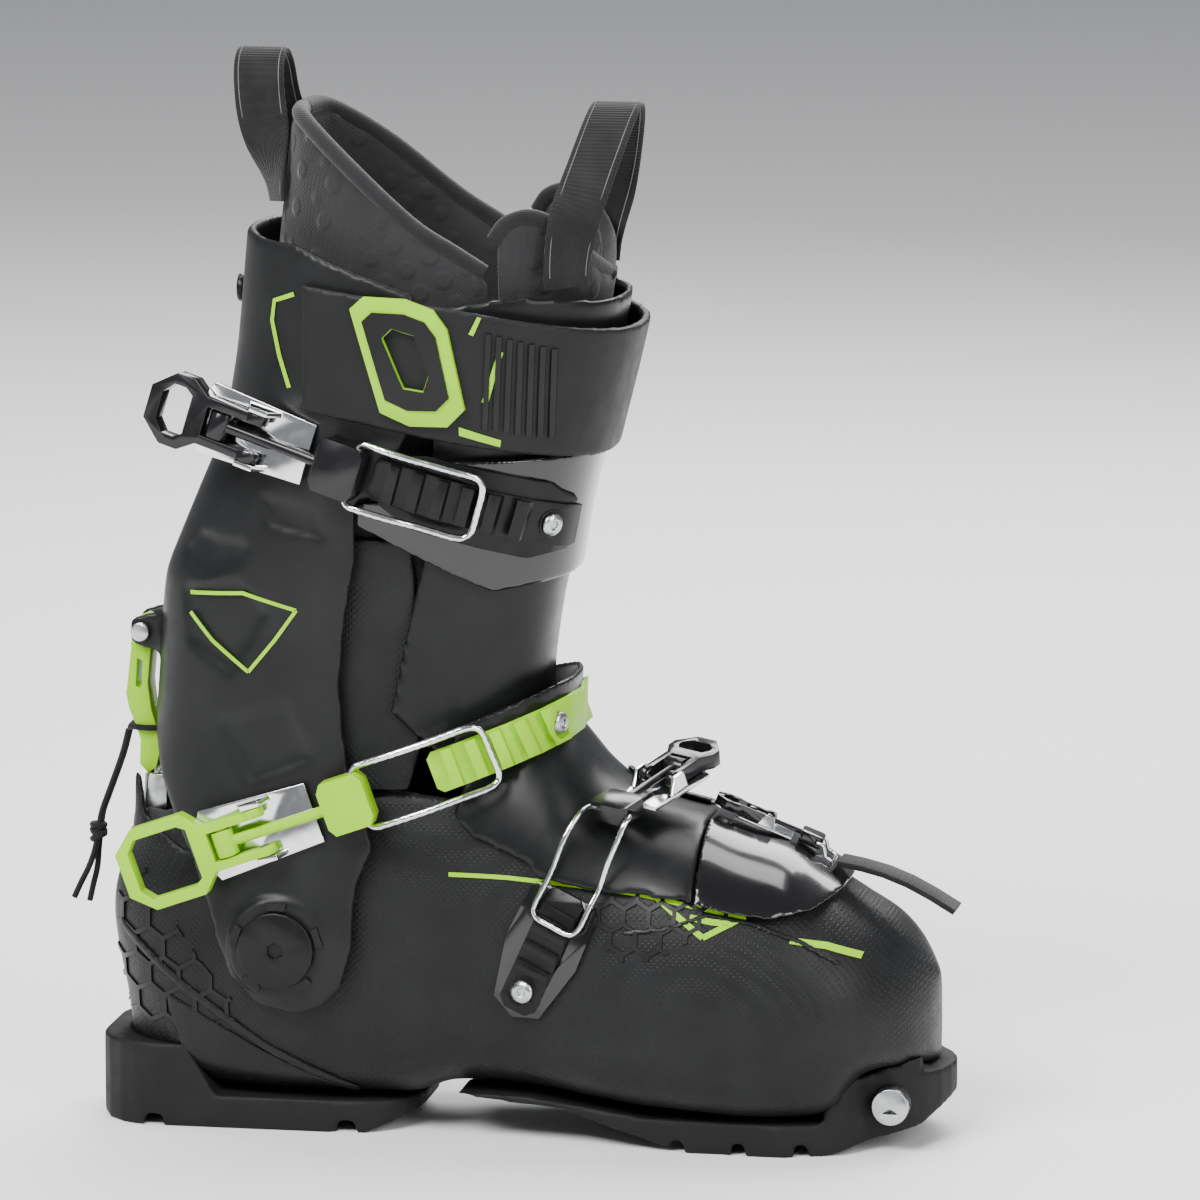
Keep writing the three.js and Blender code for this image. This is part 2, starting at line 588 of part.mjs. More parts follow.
function buckle(name, frame, inside, options) {
  const { loopLength, loopHalf, bailEnd, baseGrow, leverFinish, blockFinish, baseLength = 20 } = options;
  const holder = groupIn(frame);
  const ground = clearance(frame, inside, -24, baseLength, earOuter, baseGrow) + gap;
  const pinAt = ground + pinHeight;
  const plate = prism(mirrored([[baseLength, earOuter], [-20, earOuter + 2], [-24, 6]]), ground,
    ground + 1.8);
  const ear = (y) => across([[-6, ground + 1], [7, ground + 1], [4, pinAt + 3.4], [-3, pinAt + 3.4]], y,
    y + earOuter - earInner);
  const base = plate.add(ear(earInner)).add(ear(-earOuter))
    .add(localBar(0, pinAt, pinRadius, armInner, earInner + 0.5))
    .add(localBar(0, pinAt, pinRadius, -earInner - 0.5, -armInner));
  add(`${name}_base`, base, 'chrome', holder);

  const tip = -loopLength;
  const levelLow = ground + 2.3;
  const outer = mirrored([[0, armOuter], [-19, armOuter], [-25, loopHalf], [tip + 8, loopHalf], [tip,
    loopHalf - 7]]);
  const hole = mirrored([[-24.5, loopHalf - 6], [-27.5, loopHalf - 4], [tip + 8, loopHalf - 4],
    [tip + 4.5, loopHalf - 8]]);
  const lever = prism(outer, levelLow, pinAt + 3)
    .add(localBar(0, pinAt, armEnd, -armOuter, armOuter))
    .subtract(prism([[-18, -armInner], [12, -armInner], [12, armInner], [-18, armInner]], -20, 40))
    .subtract(prism(hole, -20, 40))
    .subtract(localBar(0, pinAt, pinBore, -20, 20))
    .add(localBar(-linkReach, pinAt, pinRadius, -armInner - 1, armInner + 1));
  add(`${name}_lever`, lever, leverFinish, holder);

  const blockBottom = clearance(frame, inside, 25, blockEnd, bailHalf, baseGrow) + 1;
  const holeX = blockEnd - 4;
  const blockTop = Math.max(blockBottom + 7, pinAt + 3.2);
  const holeZ = (blockBottom + blockTop) / 2;
  const blockHalf = bailHalf - wireRadius - gap;
  const block = prism(mirrored([[blockEnd, blockHalf - 3], [blockEnd - 2, blockHalf], [27, blockHalf], [25,
    blockHalf - 3]]), blockBottom, blockTop)
    .add(localBar(-linkReach, pinAt, 4, -armInner + 0.7, armInner - 0.7))
    .add(toSolid(new THREE.CylinderGeometry(rodRadius, rodRadius, 27 + linkReach, 12).rotateZ(Math.PI / 2)
      .translate((27 - linkReach) / 2 + 0.5, 0, pinAt)))
    .subtract(localBar(-linkReach, pinAt, pinBore, -20, 20))
    .subtract(localBar(holeX, holeZ, wireRadius + 0.3, blockHalf - 4, 20))
    .subtract(localBar(holeX, holeZ, wireRadius + 0.3, -20, -blockHalf + 4));
  add(`${name}_adjuster`, block, blockFinish, holder);

  const rest = options.bailRest ?? baseGrow + bailLift;
  const place = options.place ?? ((x, y) => vector(x, y, drop(frame, inside, x, y, rest)));
  const legs = steps(holeX + 5, bailEnd - 4, 5).map((x, i) => {
    const settle = Math.min(i / 3, 1);
    return vector(x, bailHalf, holeZ).lerp(place(x, bailHalf), settle);
  });
  const start = [[holeX, blockHalf - 3.4], [holeX, bailHalf - 1.4], [holeX + 1, bailHalf - 0.2]];
  const half = [...start.map(([x, y]) => vector(x, y, holeZ)), ...legs, place(bailEnd - 1, bailHalf - 1),
    place(bailEnd, bailHalf - 4)];
  const otherLegs = steps(holeX + 5, bailEnd - 4, 5).map((x, i) => {
    const settle = Math.min(i / 3, 1);
    return vector(x, -bailHalf, holeZ).lerp(place(x, -bailHalf), settle);
  });
  const otherHalf = [...start.map(([x, y]) => vector(x, -y, holeZ)), ...otherLegs, place(bailEnd - 1,
    1 - bailHalf), place(bailEnd, 4 - bailHalf)];
  const route = [...half, place(bailEnd, 0), ...otherHalf.reverse()];
  add(`${name}_bail`, tube(route, wireRadius, 40, 6), 'chrome', holder);
}

// A toothed rack lying on the boot, its plate, and its screw.
function rack(name, frame, inside, options) {
  const { from, teeth, pitch = 8.5, half = 7.5, toothTop = 4.6, grow, plateOutline, plateFinish, finish,
    screwAt, low, high, form } = options;
  const layer = (inner, outer) => form(outer).subtract(form(inner));
  const seat = grow + (plateOutline ? 2.2 + gap : gap);
  const screwFrame = standingFrame(frame, inside, screwAt, 0, seat + 1.8);
  const hole = toSolid(new THREE.CylinderGeometry(2.3, 2.3, 16, 12).rotateX(Math.PI / 2)
    .applyMatrix4(screwFrame));
  if (plateOutline) {
    const plate = layer(grow + gap, grow + 2.2).intersect(prism(plateOutline, low, high, frame));
    add(`${name}_plate`, plate.subtract(hole), plateFinish);
  }
  const strip = prism(mirrored([[screwAt + 8, half - 3], [screwAt + 5, half], [from - 4, half], [from - 6,
    half - 2]]), low, high, frame);
  let body = layer(seat, seat + 1.8).intersect(strip);
  const tall = layer(seat + 1, seat + toothTop);
  for (let i = 0; i < teeth; i += 1) {
    const x = from + i * pitch;
    body = body.add(tall.intersect(prism([[x, -half + 0.5], [x + 3.6, -half + 0.5], [x + 3.6, half - 0.5],
      [x, half - 0.5]], low, high, frame)));
  }
  const boss = toSolid(new THREE.CylinderGeometry(5.2, 5.2, 1.6, 16).rotateX(Math.PI / 2).translate(0, 0,
    -0.8)
    .applyMatrix4(screwFrame));
  const headRoom = toSolid(new THREE.CylinderGeometry(5.6, 5.6, 8, 16).rotateX(Math.PI / 2).translate(0, 0, 4)
    .applyMatrix4(screwFrame));
  const under = form(seat);
  add(name, body.add(boss.subtract(under)).subtract(headRoom).subtract(hole), finish);
  const head = new THREE.LatheGeometry([[0, -2.6], [1.9, -2.6], [1.9, gap], [screwRadius, gap],
    [screwRadius, 1.4],
    [2.6, 2.4], [0, 2.4]].map(([x, y]) => new THREE.Vector2(x, y)), 16);
  const socket = prism(turn(6).map((a) => [1.6 * Math.cos(a), 1.6 * Math.sin(a)]), 1.2, 6);
  add(`${name}_screw`, toSolid(head.rotateX(Math.PI / 2)).subtract(socket), 'steel', groupIn(screwFrame));
  return hole;
}

const lateralOut = vector(0, -1, 0);

// Cuff buckle
const cuffBase = sidePoint(insideLeg, lengthwise(32), upward(252.5), -1, 0);
const cuffAim = sidePoint(insideLeg, lengthwise(80), upward(238), -1, 0);
const cuffFrame = frameAt(cuffBase, cuffAim.clone().sub(cuffBase), lateralOut);
buckle('cuff_buckle', cuffFrame, insideLeg, { loopLength: 40, loopHalf: 13, bailEnd: 81.5, baseGrow: 0,
  leverFinish: 'plastic', blockFinish: 'plastic' });
rack('cuff_ladder', cuffFrame, insideLeg, { from: 50, teeth: 6, grow: 0, finish: 'plastic',
  plateFinish: 'plastic',
  plateOutline: [[48, -9], [60, -14], [98, -14], [108, -8], [108, 6], [98, 14], [60, 13], [48, 9]],
    screwAt: 102,
  low: -40, high: 30, form: (g) => legSolid(g, 190, 300) });

// Instep buckle, with its strap from the inner side of the cuff
const strapRest = 3.6;
const strapOut = strapRest + 2;
const instepBase = sidePoint(insideLeg, lengthwise(32), upward(113), -1, 0);
const instepAim = sidePoint(insideLeg, lengthwise(64), upward(124.5), -1, 0);
const instepFrame = frameAt(instepBase, instepAim.clone().sub(instepBase), lateralOut);
const instepScrew = 107;
buckle('instep_buckle', instepFrame, insideLeg, { loopLength: 52, loopHalf: 15, bailEnd: 86.2, baseGrow: 0,
  bailRest: strapOut + gap + 1.8 + 0.4 + wireRadius, leverFinish: 'green', blockFinish: 'green' });
const instepHole = rack('instep_ladder', instepFrame, insideLeg, { from: 71, teeth: 5, grow: strapOut,
  finish: 'green', screwAt: instepScrew,
  low: -70, high: 40, form: (g) => legSolid(g, 100, 200) });
const strapOutline = fitted([[25, 102], [60, 112], [100, 130], [150, 148], [150, 166], [132, 163], [98, 150],
  [60, 133], [22, 118]]);
const strapCut = block(-100, lengthwise(100), -90, 0, 0, 400);
const strapBore = bar(lengthwise(32), upward(112), 3.3, 0, 90);
const instepStrap = legWrap(strapRest, strapOut, 90, 180).intersect(across(strapOutline)).subtract(strapCut)
  .subtract(strapBore);
add('instep_strap', instepStrap.subtract(instepHole), 'plastic');
const medialFace = sidePoint(insideLeg, lengthwise(32), upward(112), 1, 0).y;
const rivet = (radius, near, far) => bar(lengthwise(32), upward(112), radius, medialFace + near,
  medialFace + far, 16);
add('instep_rivet', rivet(3, 0.6, 8).add(rivet(4, 0.6, 2.2)).add(rivet(5, strapOut + 1, 8)), 'steel');

// Forefoot buckle on the tongue, hooked to the outer side of the lower shell
const tongueOut = tongueRise + tongueWall;
const smallScale = 0.8;
const foreTop = footPoint(lengthwise(168), 1.72, tongueOut);
const foreAim = footPoint(lengthwise(157), 2.18, tongueOut);
const foreFrame = frameAt(foreTop, foreAim.clone().sub(foreTop), vector(-0.1, -0.42, 0.9));
foreFrame.scale(vector(smallScale, smallScale, smallScale));
const fromWorld = foreFrame.clone().invert();
const ladderTop = footPoint(lengthwise(137), 2.84, 0);
const ladderAim = footPoint(lengthwise(121), 3.2, 0);
const ladderFrame = frameAt(ladderTop, ladderAim.clone().sub(ladderTop), lateralOut);
const foreEnd = 80;
const foreRest = 2.2 + gap + 1.8 + 0.4 + wireRadius * smallScale;
const notchAt = 2.5;
const forePlace = (x, y) => {
  const s = Math.min(Math.max((x - blockEnd) / (foreEnd - blockEnd), 0), 1);
  const from = vector(blockEnd, y, 4).applyMatrix4(foreFrame);
  const to = vector(notchAt, y * smallScale, 2).applyMatrix4(ladderFrame);
  const out = vector(0, 0, 0).setFromMatrixColumn(foreFrame, 2).normalize().multiplyScalar(1 - s)
    .addScaledVector(vector(0, 0, 0).setFromMatrixColumn(ladderFrame, 2), s).normalize();
  const p = from.lerp(to, s).addScaledVector(out, -10);
  while (insideFoot(p, foreRest)) p.addScaledVector(out, 0.2);
  return p.applyMatrix4(fromWorld);
};
buckle('forefoot_buckle', foreFrame, insideFoot, { loopLength: 38, loopHalf: 12, bailEnd: foreEnd,
  baseGrow: tongueOut + 0.4, leverFinish: 'plastic', blockFinish: 'plastic', place: forePlace });
rack('forefoot_ladder', ladderFrame, insideFoot, { from: -3.6, teeth: 4, pitch: 7.4, half: 7,
  toothTop: 3.4, grow: 0, finish: 'plastic',
  plateFinish: 'gloss', plateOutline: [[-9, -10], [-6, -13], [14, -14], [36, -9], [40, 0], [36, 9], [14,
    14], [-6, 13],
    [-9, 10]], screwAt: 29, low: -40, high: 30, form: footForm });
const foreStrap = footLayer(tongueOut + gap, tongueOut + 1.8 + gap);
const foreStrapOutline = fitted([[150, 60], [178, 60], [180, 90], [184, 140], [152, 140], [150, 90]]);
add('forefoot_strap', foreStrap.intersect(across(foreStrapOutline, 10, 90)), 'plastic');

// Toe clip on the toe cover, and the webbing tab on its wire
const clipScale = 0.5;
const clipBase = footPoint(lengthwise(203), Math.PI / 2, coverRise);
const clipAim = footPoint(lengthwise(222), Math.PI / 2, coverRise);
const clipFrame = frameAt(clipBase, clipAim.clone().sub(clipBase), vector(0, 0, 1));
clipFrame.scale(vector(clipScale, clipScale, clipScale));
buckle('toe_clip', clipFrame, insideFoot, { loopLength: 40, loopHalf: 12, bailEnd: 54, baseGrow: coverRise,
  bailRest: coverRise + 1.6, leverFinish: 'gloss', blockFinish: 'gloss' });
const tabStart = vector(58, 0, drop(clipFrame, insideFoot, 52, 0, coverRise + 1.8)).applyMatrix4(clipFrame);
const tabEnd = vector(lengthwise(272), 0, tabStart.z - 16);
const tabPoints = steps(0, 1, 5).map((s) => tabStart.clone().lerp(tabEnd, s).add(vector(0, 0,
  3 * Math.sin(Math.PI * s))));
add('toe_pull_tab', band(tabPoints, vector(0, 1, 0), 15, 2), 'webbing');

// ---- Walk lever and its cord ----------------------------------------------------------------------------
const leverShape = fitted([[-21, 179.5], [-24.3, 178], [-25.4, 174], [-25.9, 166], [-27.7, 151], [-26.6,
  145.6],
  [-24.4, 140.2], [-22.6, 134.7], [-22.9, 125.5], [-20, 122.5], [-16.9, 124.3], [-15.2, 131], [-16.4, 138.5],
  [-18.6, 146], [-19.6, 155], [-18.6, 166], [-17.2, 174], [-18, 178]]);
const leverSlot = fitted([[-24, 154], [-22, 153], [-21.4, 163], [-23.4, 164]]);
add('walk_lever', across(leverShape, -leverHalf + 0.5, leverHalf - 0.5)
  .subtract(across(leverSlot))
  .subtract(bar(leverPinX, leverPinZ, leverPinRadius + 0.3, -20, 20)), 'green');
const leverScrew = bar(leverPinX, leverPinZ, leverPinRadius, -leverHalf - 5, leverHalf + 4.2)
  .add(bar(leverPinX, leverPinZ, 3.4, -leverHalf - 6, -leverHalf - earWall - 2 * gap))
  .add(bar(leverPinX, leverPinZ, 3.4, leverHalf + earWall + 2 * gap, leverHalf + 5.5));
add('walk_lever_screw', leverScrew, 'steel');
const wrapLow = upward(138);
const wrapOuter = [[-27.4, -8.4], [-14.2, -8.4], [-14.2, 8.4], [-27.4, 8.4]].map(([x,
  y]) => [lengthwise(x), y]);
const wrapInner = [[-25.2, -6.4], [-15.8, -6.4], [-15.8, 6.4], [-25.2, 6.4]].map(([x,
  y]) => [lengthwise(x), y]);
add('walk_lever_wrap', prism(wrapOuter, wrapLow, wrapLow + 2.4).subtract(prism(wrapInner, wrapLow - 1,
  wrapLow + 4)),
  'webbing');

const cordRadius = cordDiameter / 2;
const knotX = -39.7;
const knotZ = 99.6;
const cordLine = [[-27.9, 137.3], [-30.2, 128.6], [-33.4, 119.6], [-36.4, 111.6], [-38.4, 105.6]];
const tails = { lateral: [[-40.6, 93.7], [-43, 86.6], [-46, 80.6], [-48.6, 75]], medial: [[-39.9, 93.6],
  [-40.6, 86], [-42.2, 79.4],
  [-43.6, 73.4]] };
for (const [name, side] of [['lateral', -1], ['medial', 1]]) {
  const y = side * (cordRadius + 0.3);
  add(`cord_strand_${name}`, tube(cordLine.map(([x, z]) => vector(x, y, z)), cordRadius, 10), 'webbing');
  add(`cord_tail_${name}`, tube(tails[name].map(([x, z]) => vector(x, y, z)), cordRadius, 8), 'webbing');
}
const knot = new THREE.SphereGeometry(1, 14, 10).scale(3.6, 3.6, 5.4).rotateY(0.25).translate(knotX, 0,
  knotZ);
add('cord_knot', toSolid(knot), 'webbing');

// ---- Power strap ----------------------------------------------------------------------------------------
const strapInner = 0.8;
const powerOutline = fitted([[48, 263], [48, 307], [100, 301], [180, 286], [180, 239], [110, 251]]);
add('power_strap', legWrap(strapInner, strapInner + strapThickness, 225, 325)
  .intersect(across(powerOutline)), 'webbing');
const ringFrame = frameAt(sidePoint(insideLeg, lengthwise(85), upward(283), -1, 0), vector(1, 0, -0.16),
  lateralOut);
const ringOutline = [[-21, -14], [-17, -19], [-2, -21], [8, -19], [14, -13], [24, 14], [19, 21], [6, 23],
  [-5, 20]]
  .map(([x, y]) => [x, -y]);
const ringHole = [[-8, -6], [-5, -10], [3, -9], [10, 4], [9, 10], [2, 10]].map(([x, y]) => [x, -y]);
const ringLayer = legWrap(strapInner + strapThickness + gap, strapInner + strapThickness + 3, 225, 330);
add('strap_ring', ringLayer.intersect(prism(ringOutline, -25, 25, ringFrame)).subtract(prism(ringHole, -40,
  40, ringFrame)),
  'green');
const spoilerZ = upward(298);
const spoilerX = legBack(spoilerZ);
add('spoiler_bolt', toSolid(new THREE.CylinderGeometry(5, 5, 2.6, 20).rotateZ(Math.PI / 2)
  .translate(spoilerX - 1.3 - 2 * gap, 0, spoilerZ)), 'plastic');

// ---- Pull loops -----------------------------------------------------------------------------------------
// Each loop is sewn to both sides of the liner, and twists so that its flat faces look sideways higher up.
// Points are [x, y, z] on the outer side, and across gives the band's direction at the low end.
function pullLoop(name, points, across) {
  const outer = points.map(([x, y, z]) => vector(lengthwise(x), y, upward(z)));
  const inner = outer.slice(0, -1).reverse().map((p) => vector(p.x, -p.y, p.z));
  const twist = (i) => Math.min(i / 3, 1);
  const outerWide = outer.map((_, i) => across.clone().lerp(vector(1, 0, 0), twist(i)).normalize());
  const innerWide = outerWide.slice(0, -1).reverse().map((w) => vector(w.x, -w.y, w.z));
  add(name, band([...outer, ...inner], [...outerWide, ...innerWide], loopWidth - 2, 1.8), 'webbing');
}
pullLoop('rear_pull_loop', [[31.6, -17.5, 331.5], [30.2, -17, 341], [27.5, -15.5, 353], [24.5, -12.5, 366],
  [23.2, -8.5, 378],
  [23, 0, 383]], vector(0.47, -0.88, 0));
pullLoop('front_pull_loop', [[138.2, -37, 306], [138.9, -38.3, 317], [141.5, -35.5, 332], [146, -22, 350],
  [149, -10, 362],
  [150, 0, 366]], vector(0.75, 0.66, 0));

export default group;
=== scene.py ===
import math

import bmesh
import bpy
import numpy as np
from mathutils import Matrix, Vector


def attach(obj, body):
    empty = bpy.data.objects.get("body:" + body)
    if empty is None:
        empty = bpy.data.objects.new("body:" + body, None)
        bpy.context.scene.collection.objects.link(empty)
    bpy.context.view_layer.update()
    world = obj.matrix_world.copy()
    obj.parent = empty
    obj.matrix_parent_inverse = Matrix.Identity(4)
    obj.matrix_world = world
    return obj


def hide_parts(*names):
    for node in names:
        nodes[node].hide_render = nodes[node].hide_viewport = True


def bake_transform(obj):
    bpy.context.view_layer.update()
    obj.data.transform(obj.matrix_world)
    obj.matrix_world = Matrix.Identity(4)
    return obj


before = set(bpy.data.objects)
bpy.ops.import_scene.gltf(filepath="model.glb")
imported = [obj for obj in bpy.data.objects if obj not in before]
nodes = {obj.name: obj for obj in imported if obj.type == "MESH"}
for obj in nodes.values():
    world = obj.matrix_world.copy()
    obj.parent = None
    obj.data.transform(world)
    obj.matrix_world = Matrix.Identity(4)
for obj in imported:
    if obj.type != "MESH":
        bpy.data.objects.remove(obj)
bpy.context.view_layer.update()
MM = 0.001
collection = bpy.context.scene.collection

# ---- Camera --------------------------------------------------------------------------------------------
azimuth = math.radians(10)
elevation = math.radians(10)
right = Vector((math.cos(azimuth), math.sin(azimuth), 0))
up = Vector((-math.sin(elevation) * math.sin(azimuth), math.sin(elevation) * math.cos(azimuth),
             math.cos(elevation)))
back = right.cross(up)
view_width = 0.4336
view_distance = 3.0
aim = right * 0.1414 + up * 0.1821
camera_data = bpy.data.cameras.new("camera")
camera_data.sensor_width = 36
camera_data.lens = camera_data.sensor_width * view_distance / view_width
camera = bpy.data.objects.new("camera", camera_data)
collection.objects.link(camera)
turned_to_view = Matrix((right, up, back)).transposed().to_4x4()
camera.matrix_world = Matrix.Translation(aim + back * view_distance) @ turned_to_view
bpy.context.scene.camera = camera

# ---- Cord on the walk lever ----------------------------------------------------------------------------
cord_radius = 1.1
knot_centre = (-39.7, 0, 99.6)
strand = [(-27.9, 137.3), (-30.2, 128.6), (-33.4, 119.6), (-36.4, 111.6), (-38.4, 105.6)]
tails = {
    "lateral": [(-40.6, 93.7), (-43, 86.6), (-46, 80.6), (-48.6, 75)],
    "medial": [(-39.9, 93.6), (-40.6, 86), (-42.2, 79.4), (-43.6, 73.4)],
}


def smooth_path(points, count):
    """Points evenly spread along a Catmull-Rom curve through the given ones."""
    p = np.array(points, float)
    p = np.vstack([2 * p[0] - p[1], p, 2 * p[-1] - p[-2]])
    out = []
    for i in range(1, len(p) - 2):
        for t in np.linspace(0, 1, 12, endpoint=False):
            out.append(0.5 * (2 * p[i] + (p[i + 1] - p[i - 1]) * t
                              + (2 * p[i - 1] - 5 * p[i] + 4 * p[i + 1] - p[i + 2]) * t ** 2
                              + (3 * p[i] - p[i - 1] - 3 * p[i + 1] + p[i + 2]) * t ** 3))
    out.append(p[-2])
    out = np.array(out)
    run = np.concatenate([[0], np.cumsum(np.linalg.norm(np.diff(out, axis=0), axis=1))])
    at = np.linspace(0, run[-1], count)
    return np.stack([np.interp(at, run, out[:, k]) for k in range(3)], axis=1)


def curve_tube(name, points, radius, cyclic=False, sides=6):
    """A round tube as a curve object, from points in millimetres."""
    data = bpy.data.curves.new(name, "CURVE")
    data.dimensions = "3D"
    data.bevel_depth = radius * MM
    data.bevel_resolution = sides
    data.use_fill_caps = True
    spline = data.splines.new("POLY")
    spline.points.add(len(points) - 1)
    for point, place in zip(spline.points, points):
        point.co = (*(np.array(place) * MM), 1)
    spline.use_cyclic_u = cyclic
    piece = bpy.data.objects.new(name, data)
    collection.objects.link(piece)
    return piece


cords = []
for name, side in (("lateral", -1), ("medial", 1)):
    y = side * (cord_radius + 0.3)
    route = [(x, y, z) for x, z in strand] + [(x, y, z) for x, z in tails[name]]
    route = smooth_path(route, 30)
    piece = curve_tube(f"lever_cord_{name}", route, cord_radius)
    cords.append((piece, route, name))

# ---- Materials -----------------------------------------------------------------------------------------


class Surface:
    """A node material that is built up from layers."""

    def __init__(self, name, color, roughness, metallic=0.0, coat=0.0, sheen=0.0):
        self.material = bpy.data.materials.new(name)
        self.material.use_nodes = True
        self.tree = self.material.node_tree
        self.shader = self.tree.nodes["Principled BSDF"]
        self.color = color
        self.shader.inputs["Base Color"].default_value = (*color, 1)
        self.shader.inputs["Roughness"].default_value = roughness
        self.shader.inputs["Metallic"].default_value = metallic
        if not metallic:
            self.shader.inputs["Specular IOR Level"].default_value = 0.5 if coat else 0.2
        self.shader.inputs["Coat Weight"].default_value = coat
        self.shader.inputs["Coat Roughness"].default_value = 0.06
        self.shader.inputs["Sheen Weight"].default_value = sheen
        self.roughness = roughness
        self.place = self.node("ShaderNodeTexCoord").outputs["Object"]
        self.last_bump = None

    def node(self, kind, **inputs):
        node = self.tree.nodes.new(kind)
        for key, value in inputs.items():
            self.put(node.inputs[key.replace("_", " ")], value)
        return node

    def put(self, socket, value):
        if isinstance(value, bpy.types.NodeSocket):
            self.tree.links.new(value, socket)
        else:
            socket.default_value = value

    def math(self, operation, a, b=0.0):
        node = self.tree.nodes.new("ShaderNodeMath")
        node.operation = operation
        self.put(node.inputs[0], a)
        self.put(node.inputs[1], b)
        return node.outputs[0]

    def noise(self, scale, detail=3.0):
        node = self.node("ShaderNodeTexNoise", Vector=self.place, Scale=scale, Detail=detail)
        return node.outputs["Fac"]

    def ramp(self, value, low, high, out_low, out_high):
        node = self.tree.nodes.new("ShaderNodeMapRange")
        self.put(node.inputs["Value"], value)
        for key, number in (("From Min", low), ("From Max", high),
                            ("To Min", out_low), ("To Max", out_high)):
            self.put(node.inputs[key], number)
        return node.outputs["Result"]

    def bump(self, height, strength, distance):
        node = self.node("ShaderNodeBump", Height=height, Strength=strength, Distance=distance)
        if self.last_bump is not None:
            self.tree.links.new(self.last_bump, node.inputs["Normal"])
        self.last_bump = node.outputs["Normal"]
        self.tree.links.new(self.last_bump, self.shader.inputs["Normal"])
        return self

    def vary(self, scale, darker, lighter, rough_spread=0.0):
        """Mottles the colour between darker and lighter times itself, and spreads the roughness."""
        fac = self.noise(scale)
        mix = self.tree.nodes.new("ShaderNodeMix")
        mix.data_type = "RGBA"
        self.put(mix.inputs["Factor"], self.ramp(fac, 0.3, 0.7, 0, 1))
        self.put(mix.inputs["A"], (*[c * darker for c in self.color], 1))
        self.put(mix.inputs["B"], (*[c * lighter for c in self.color], 1))
        self.tree.links.new(mix.outputs["Result"], self.shader.inputs["Base Color"])
        if rough_spread:
            low, high = self.roughness - rough_spread, self.roughness + rough_spread
            self.put(self.shader.inputs["Roughness"],
                     self.ramp(self.noise(scale * 3.1), 0.3, 0.7, low, high))
        return self

    def turned(self, scale, angles=(0, 0, 0)):
        node = self.tree.nodes.new("ShaderNodeMapping")
        self.put(node.inputs["Vector"], self.place)
        node.inputs["Scale"].default_value = (scale, scale, scale)
        node.inputs["Rotation"].default_value = [math.radians(a) for a in angles]
        return node.outputs["Vector"]

    def waves(self, direction, scale, angles=(0, 0, 0)):
        node = self.tree.nodes.new("ShaderNodeTexWave")
        node.bands_direction = direction
        self.put(node.inputs["Vector"], self.turned(1, angles))
        self.put(node.inputs["Scale"], scale)
        return node.outputs["Fac"]

    def dots(self, scale, radius, angles=(0, 45, 0)):
        """Round dots in a regular lattice, 1 on a dot and 0 between."""
        node = self.tree.nodes.new("ShaderNodeTexVoronoi")
        self.put(node.inputs["Vector"], self.turned(1, angles))
        self.put(node.inputs["Scale"], scale)
        self.put(node.inputs["Randomness"], 0.0)
        return self.ramp(node.outputs["Distance"], radius, radius * 0.6, 0, 1)


def grained(name, color, roughness, **more):
    """Moulded plastic with a fine spark-eroded grain."""
    surface = Surface(name, color, roughness, **more).vary(45, 0.8, 1.25, 0.05)
    return surface.bump(surface.noise(2600, 2), 0.12, 0.0002)


dotted = grained("shell_dotted", (0.008, 0.0083, 0.0087), 0.44)
dotted.bump(dotted.dots(620, 0.42), 0.35, 0.00035)
satin = grained("cuff_satin", (0.009, 0.0093, 0.0097), 0.38)
smooth_black = grained("smooth_black", (0.0075, 0.0075, 0.008), 0.32)
gloss = Surface("polished_black", (0.0035, 0.0035, 0.004), 0.16, coat=0.3).vary(30, 0.8, 1.2, 0.03)
tongue_satin = grained("tongue_satin", (0.007, 0.0073, 0.0077), 0.32)
green = Surface("lime_plastic", (0.27, 0.56, 0.003), 0.42).vary(60, 0.93, 1.05, 0.05)
green.bump(green.noise(1800, 2), 0.06, 0.0002)
chrome = Surface("plated_steel", (0.78, 0.79, 0.80), 0.14, metallic=1).vary(80, 0.9, 1.04, 0.05)
steel = Surface("satin_steel", (0.52, 0.53, 0.54), 0.30, metallic=1).vary(90, 0.85, 1.08, 0.07)
steel.bump(steel.noise(900, 4), 0.08, 0.0002)
rubber = grained("tread_rubber", (0.008, 0.008, 0.0085), 0.62)
alloy = Surface("black_alloy", (0.010, 0.010, 0.011), 0.22, metallic=0.3).vary(70, 0.8, 1.3, 0.05)
engineering = grained("black_plastic", (0.006, 0.006, 0.0065), 0.30)

webbing = Surface("black_webbing", (0.007, 0.007, 0.0075), 0.8, sheen=0.1).vary(120, 0.7, 1.5)
weave = webbing.math("MULTIPLY", webbing.waves("X", 420), webbing.waves("Z", 420))
webbing.bump(webbing.math("ADD", weave, webbing.waves("Y", 300)), 0.5, 0.0003)
mesh_cloth = Surface("liner_mesh", (0.016, 0.016, 0.017), 0.85, sheen=0.15).vary(25, 0.75, 1.3)
mesh_cloth.bump(mesh_cloth.dots(900, 0.45), 0.5, 0.0003)
mesh_cloth.bump(mesh_cloth.dots(105, 0.4, (0, 30, 0)), 0.6, 0.0012)
knit = Surface("knit_edge", (0.008, 0.008, 0.009), 0.8, sheen=0.2).vary(60, 0.7, 1.4)
knit.bump(knit.math("MULTIPLY", knit.waves("Z", 520), knit.waves("X", 520)), 0.5, 0.0003)
strap_rubber = grained("strap_rubber", (0.008, 0.008, 0.0085), 0.5)
stitch = Surface("thread", (0.10, 0.10, 0.105), 0.7).vary(200, 0.8, 1.2)


def paint(piece, surface):
    piece.data.materials.clear()
    piece.data.materials.append(surface.material)
    return piece


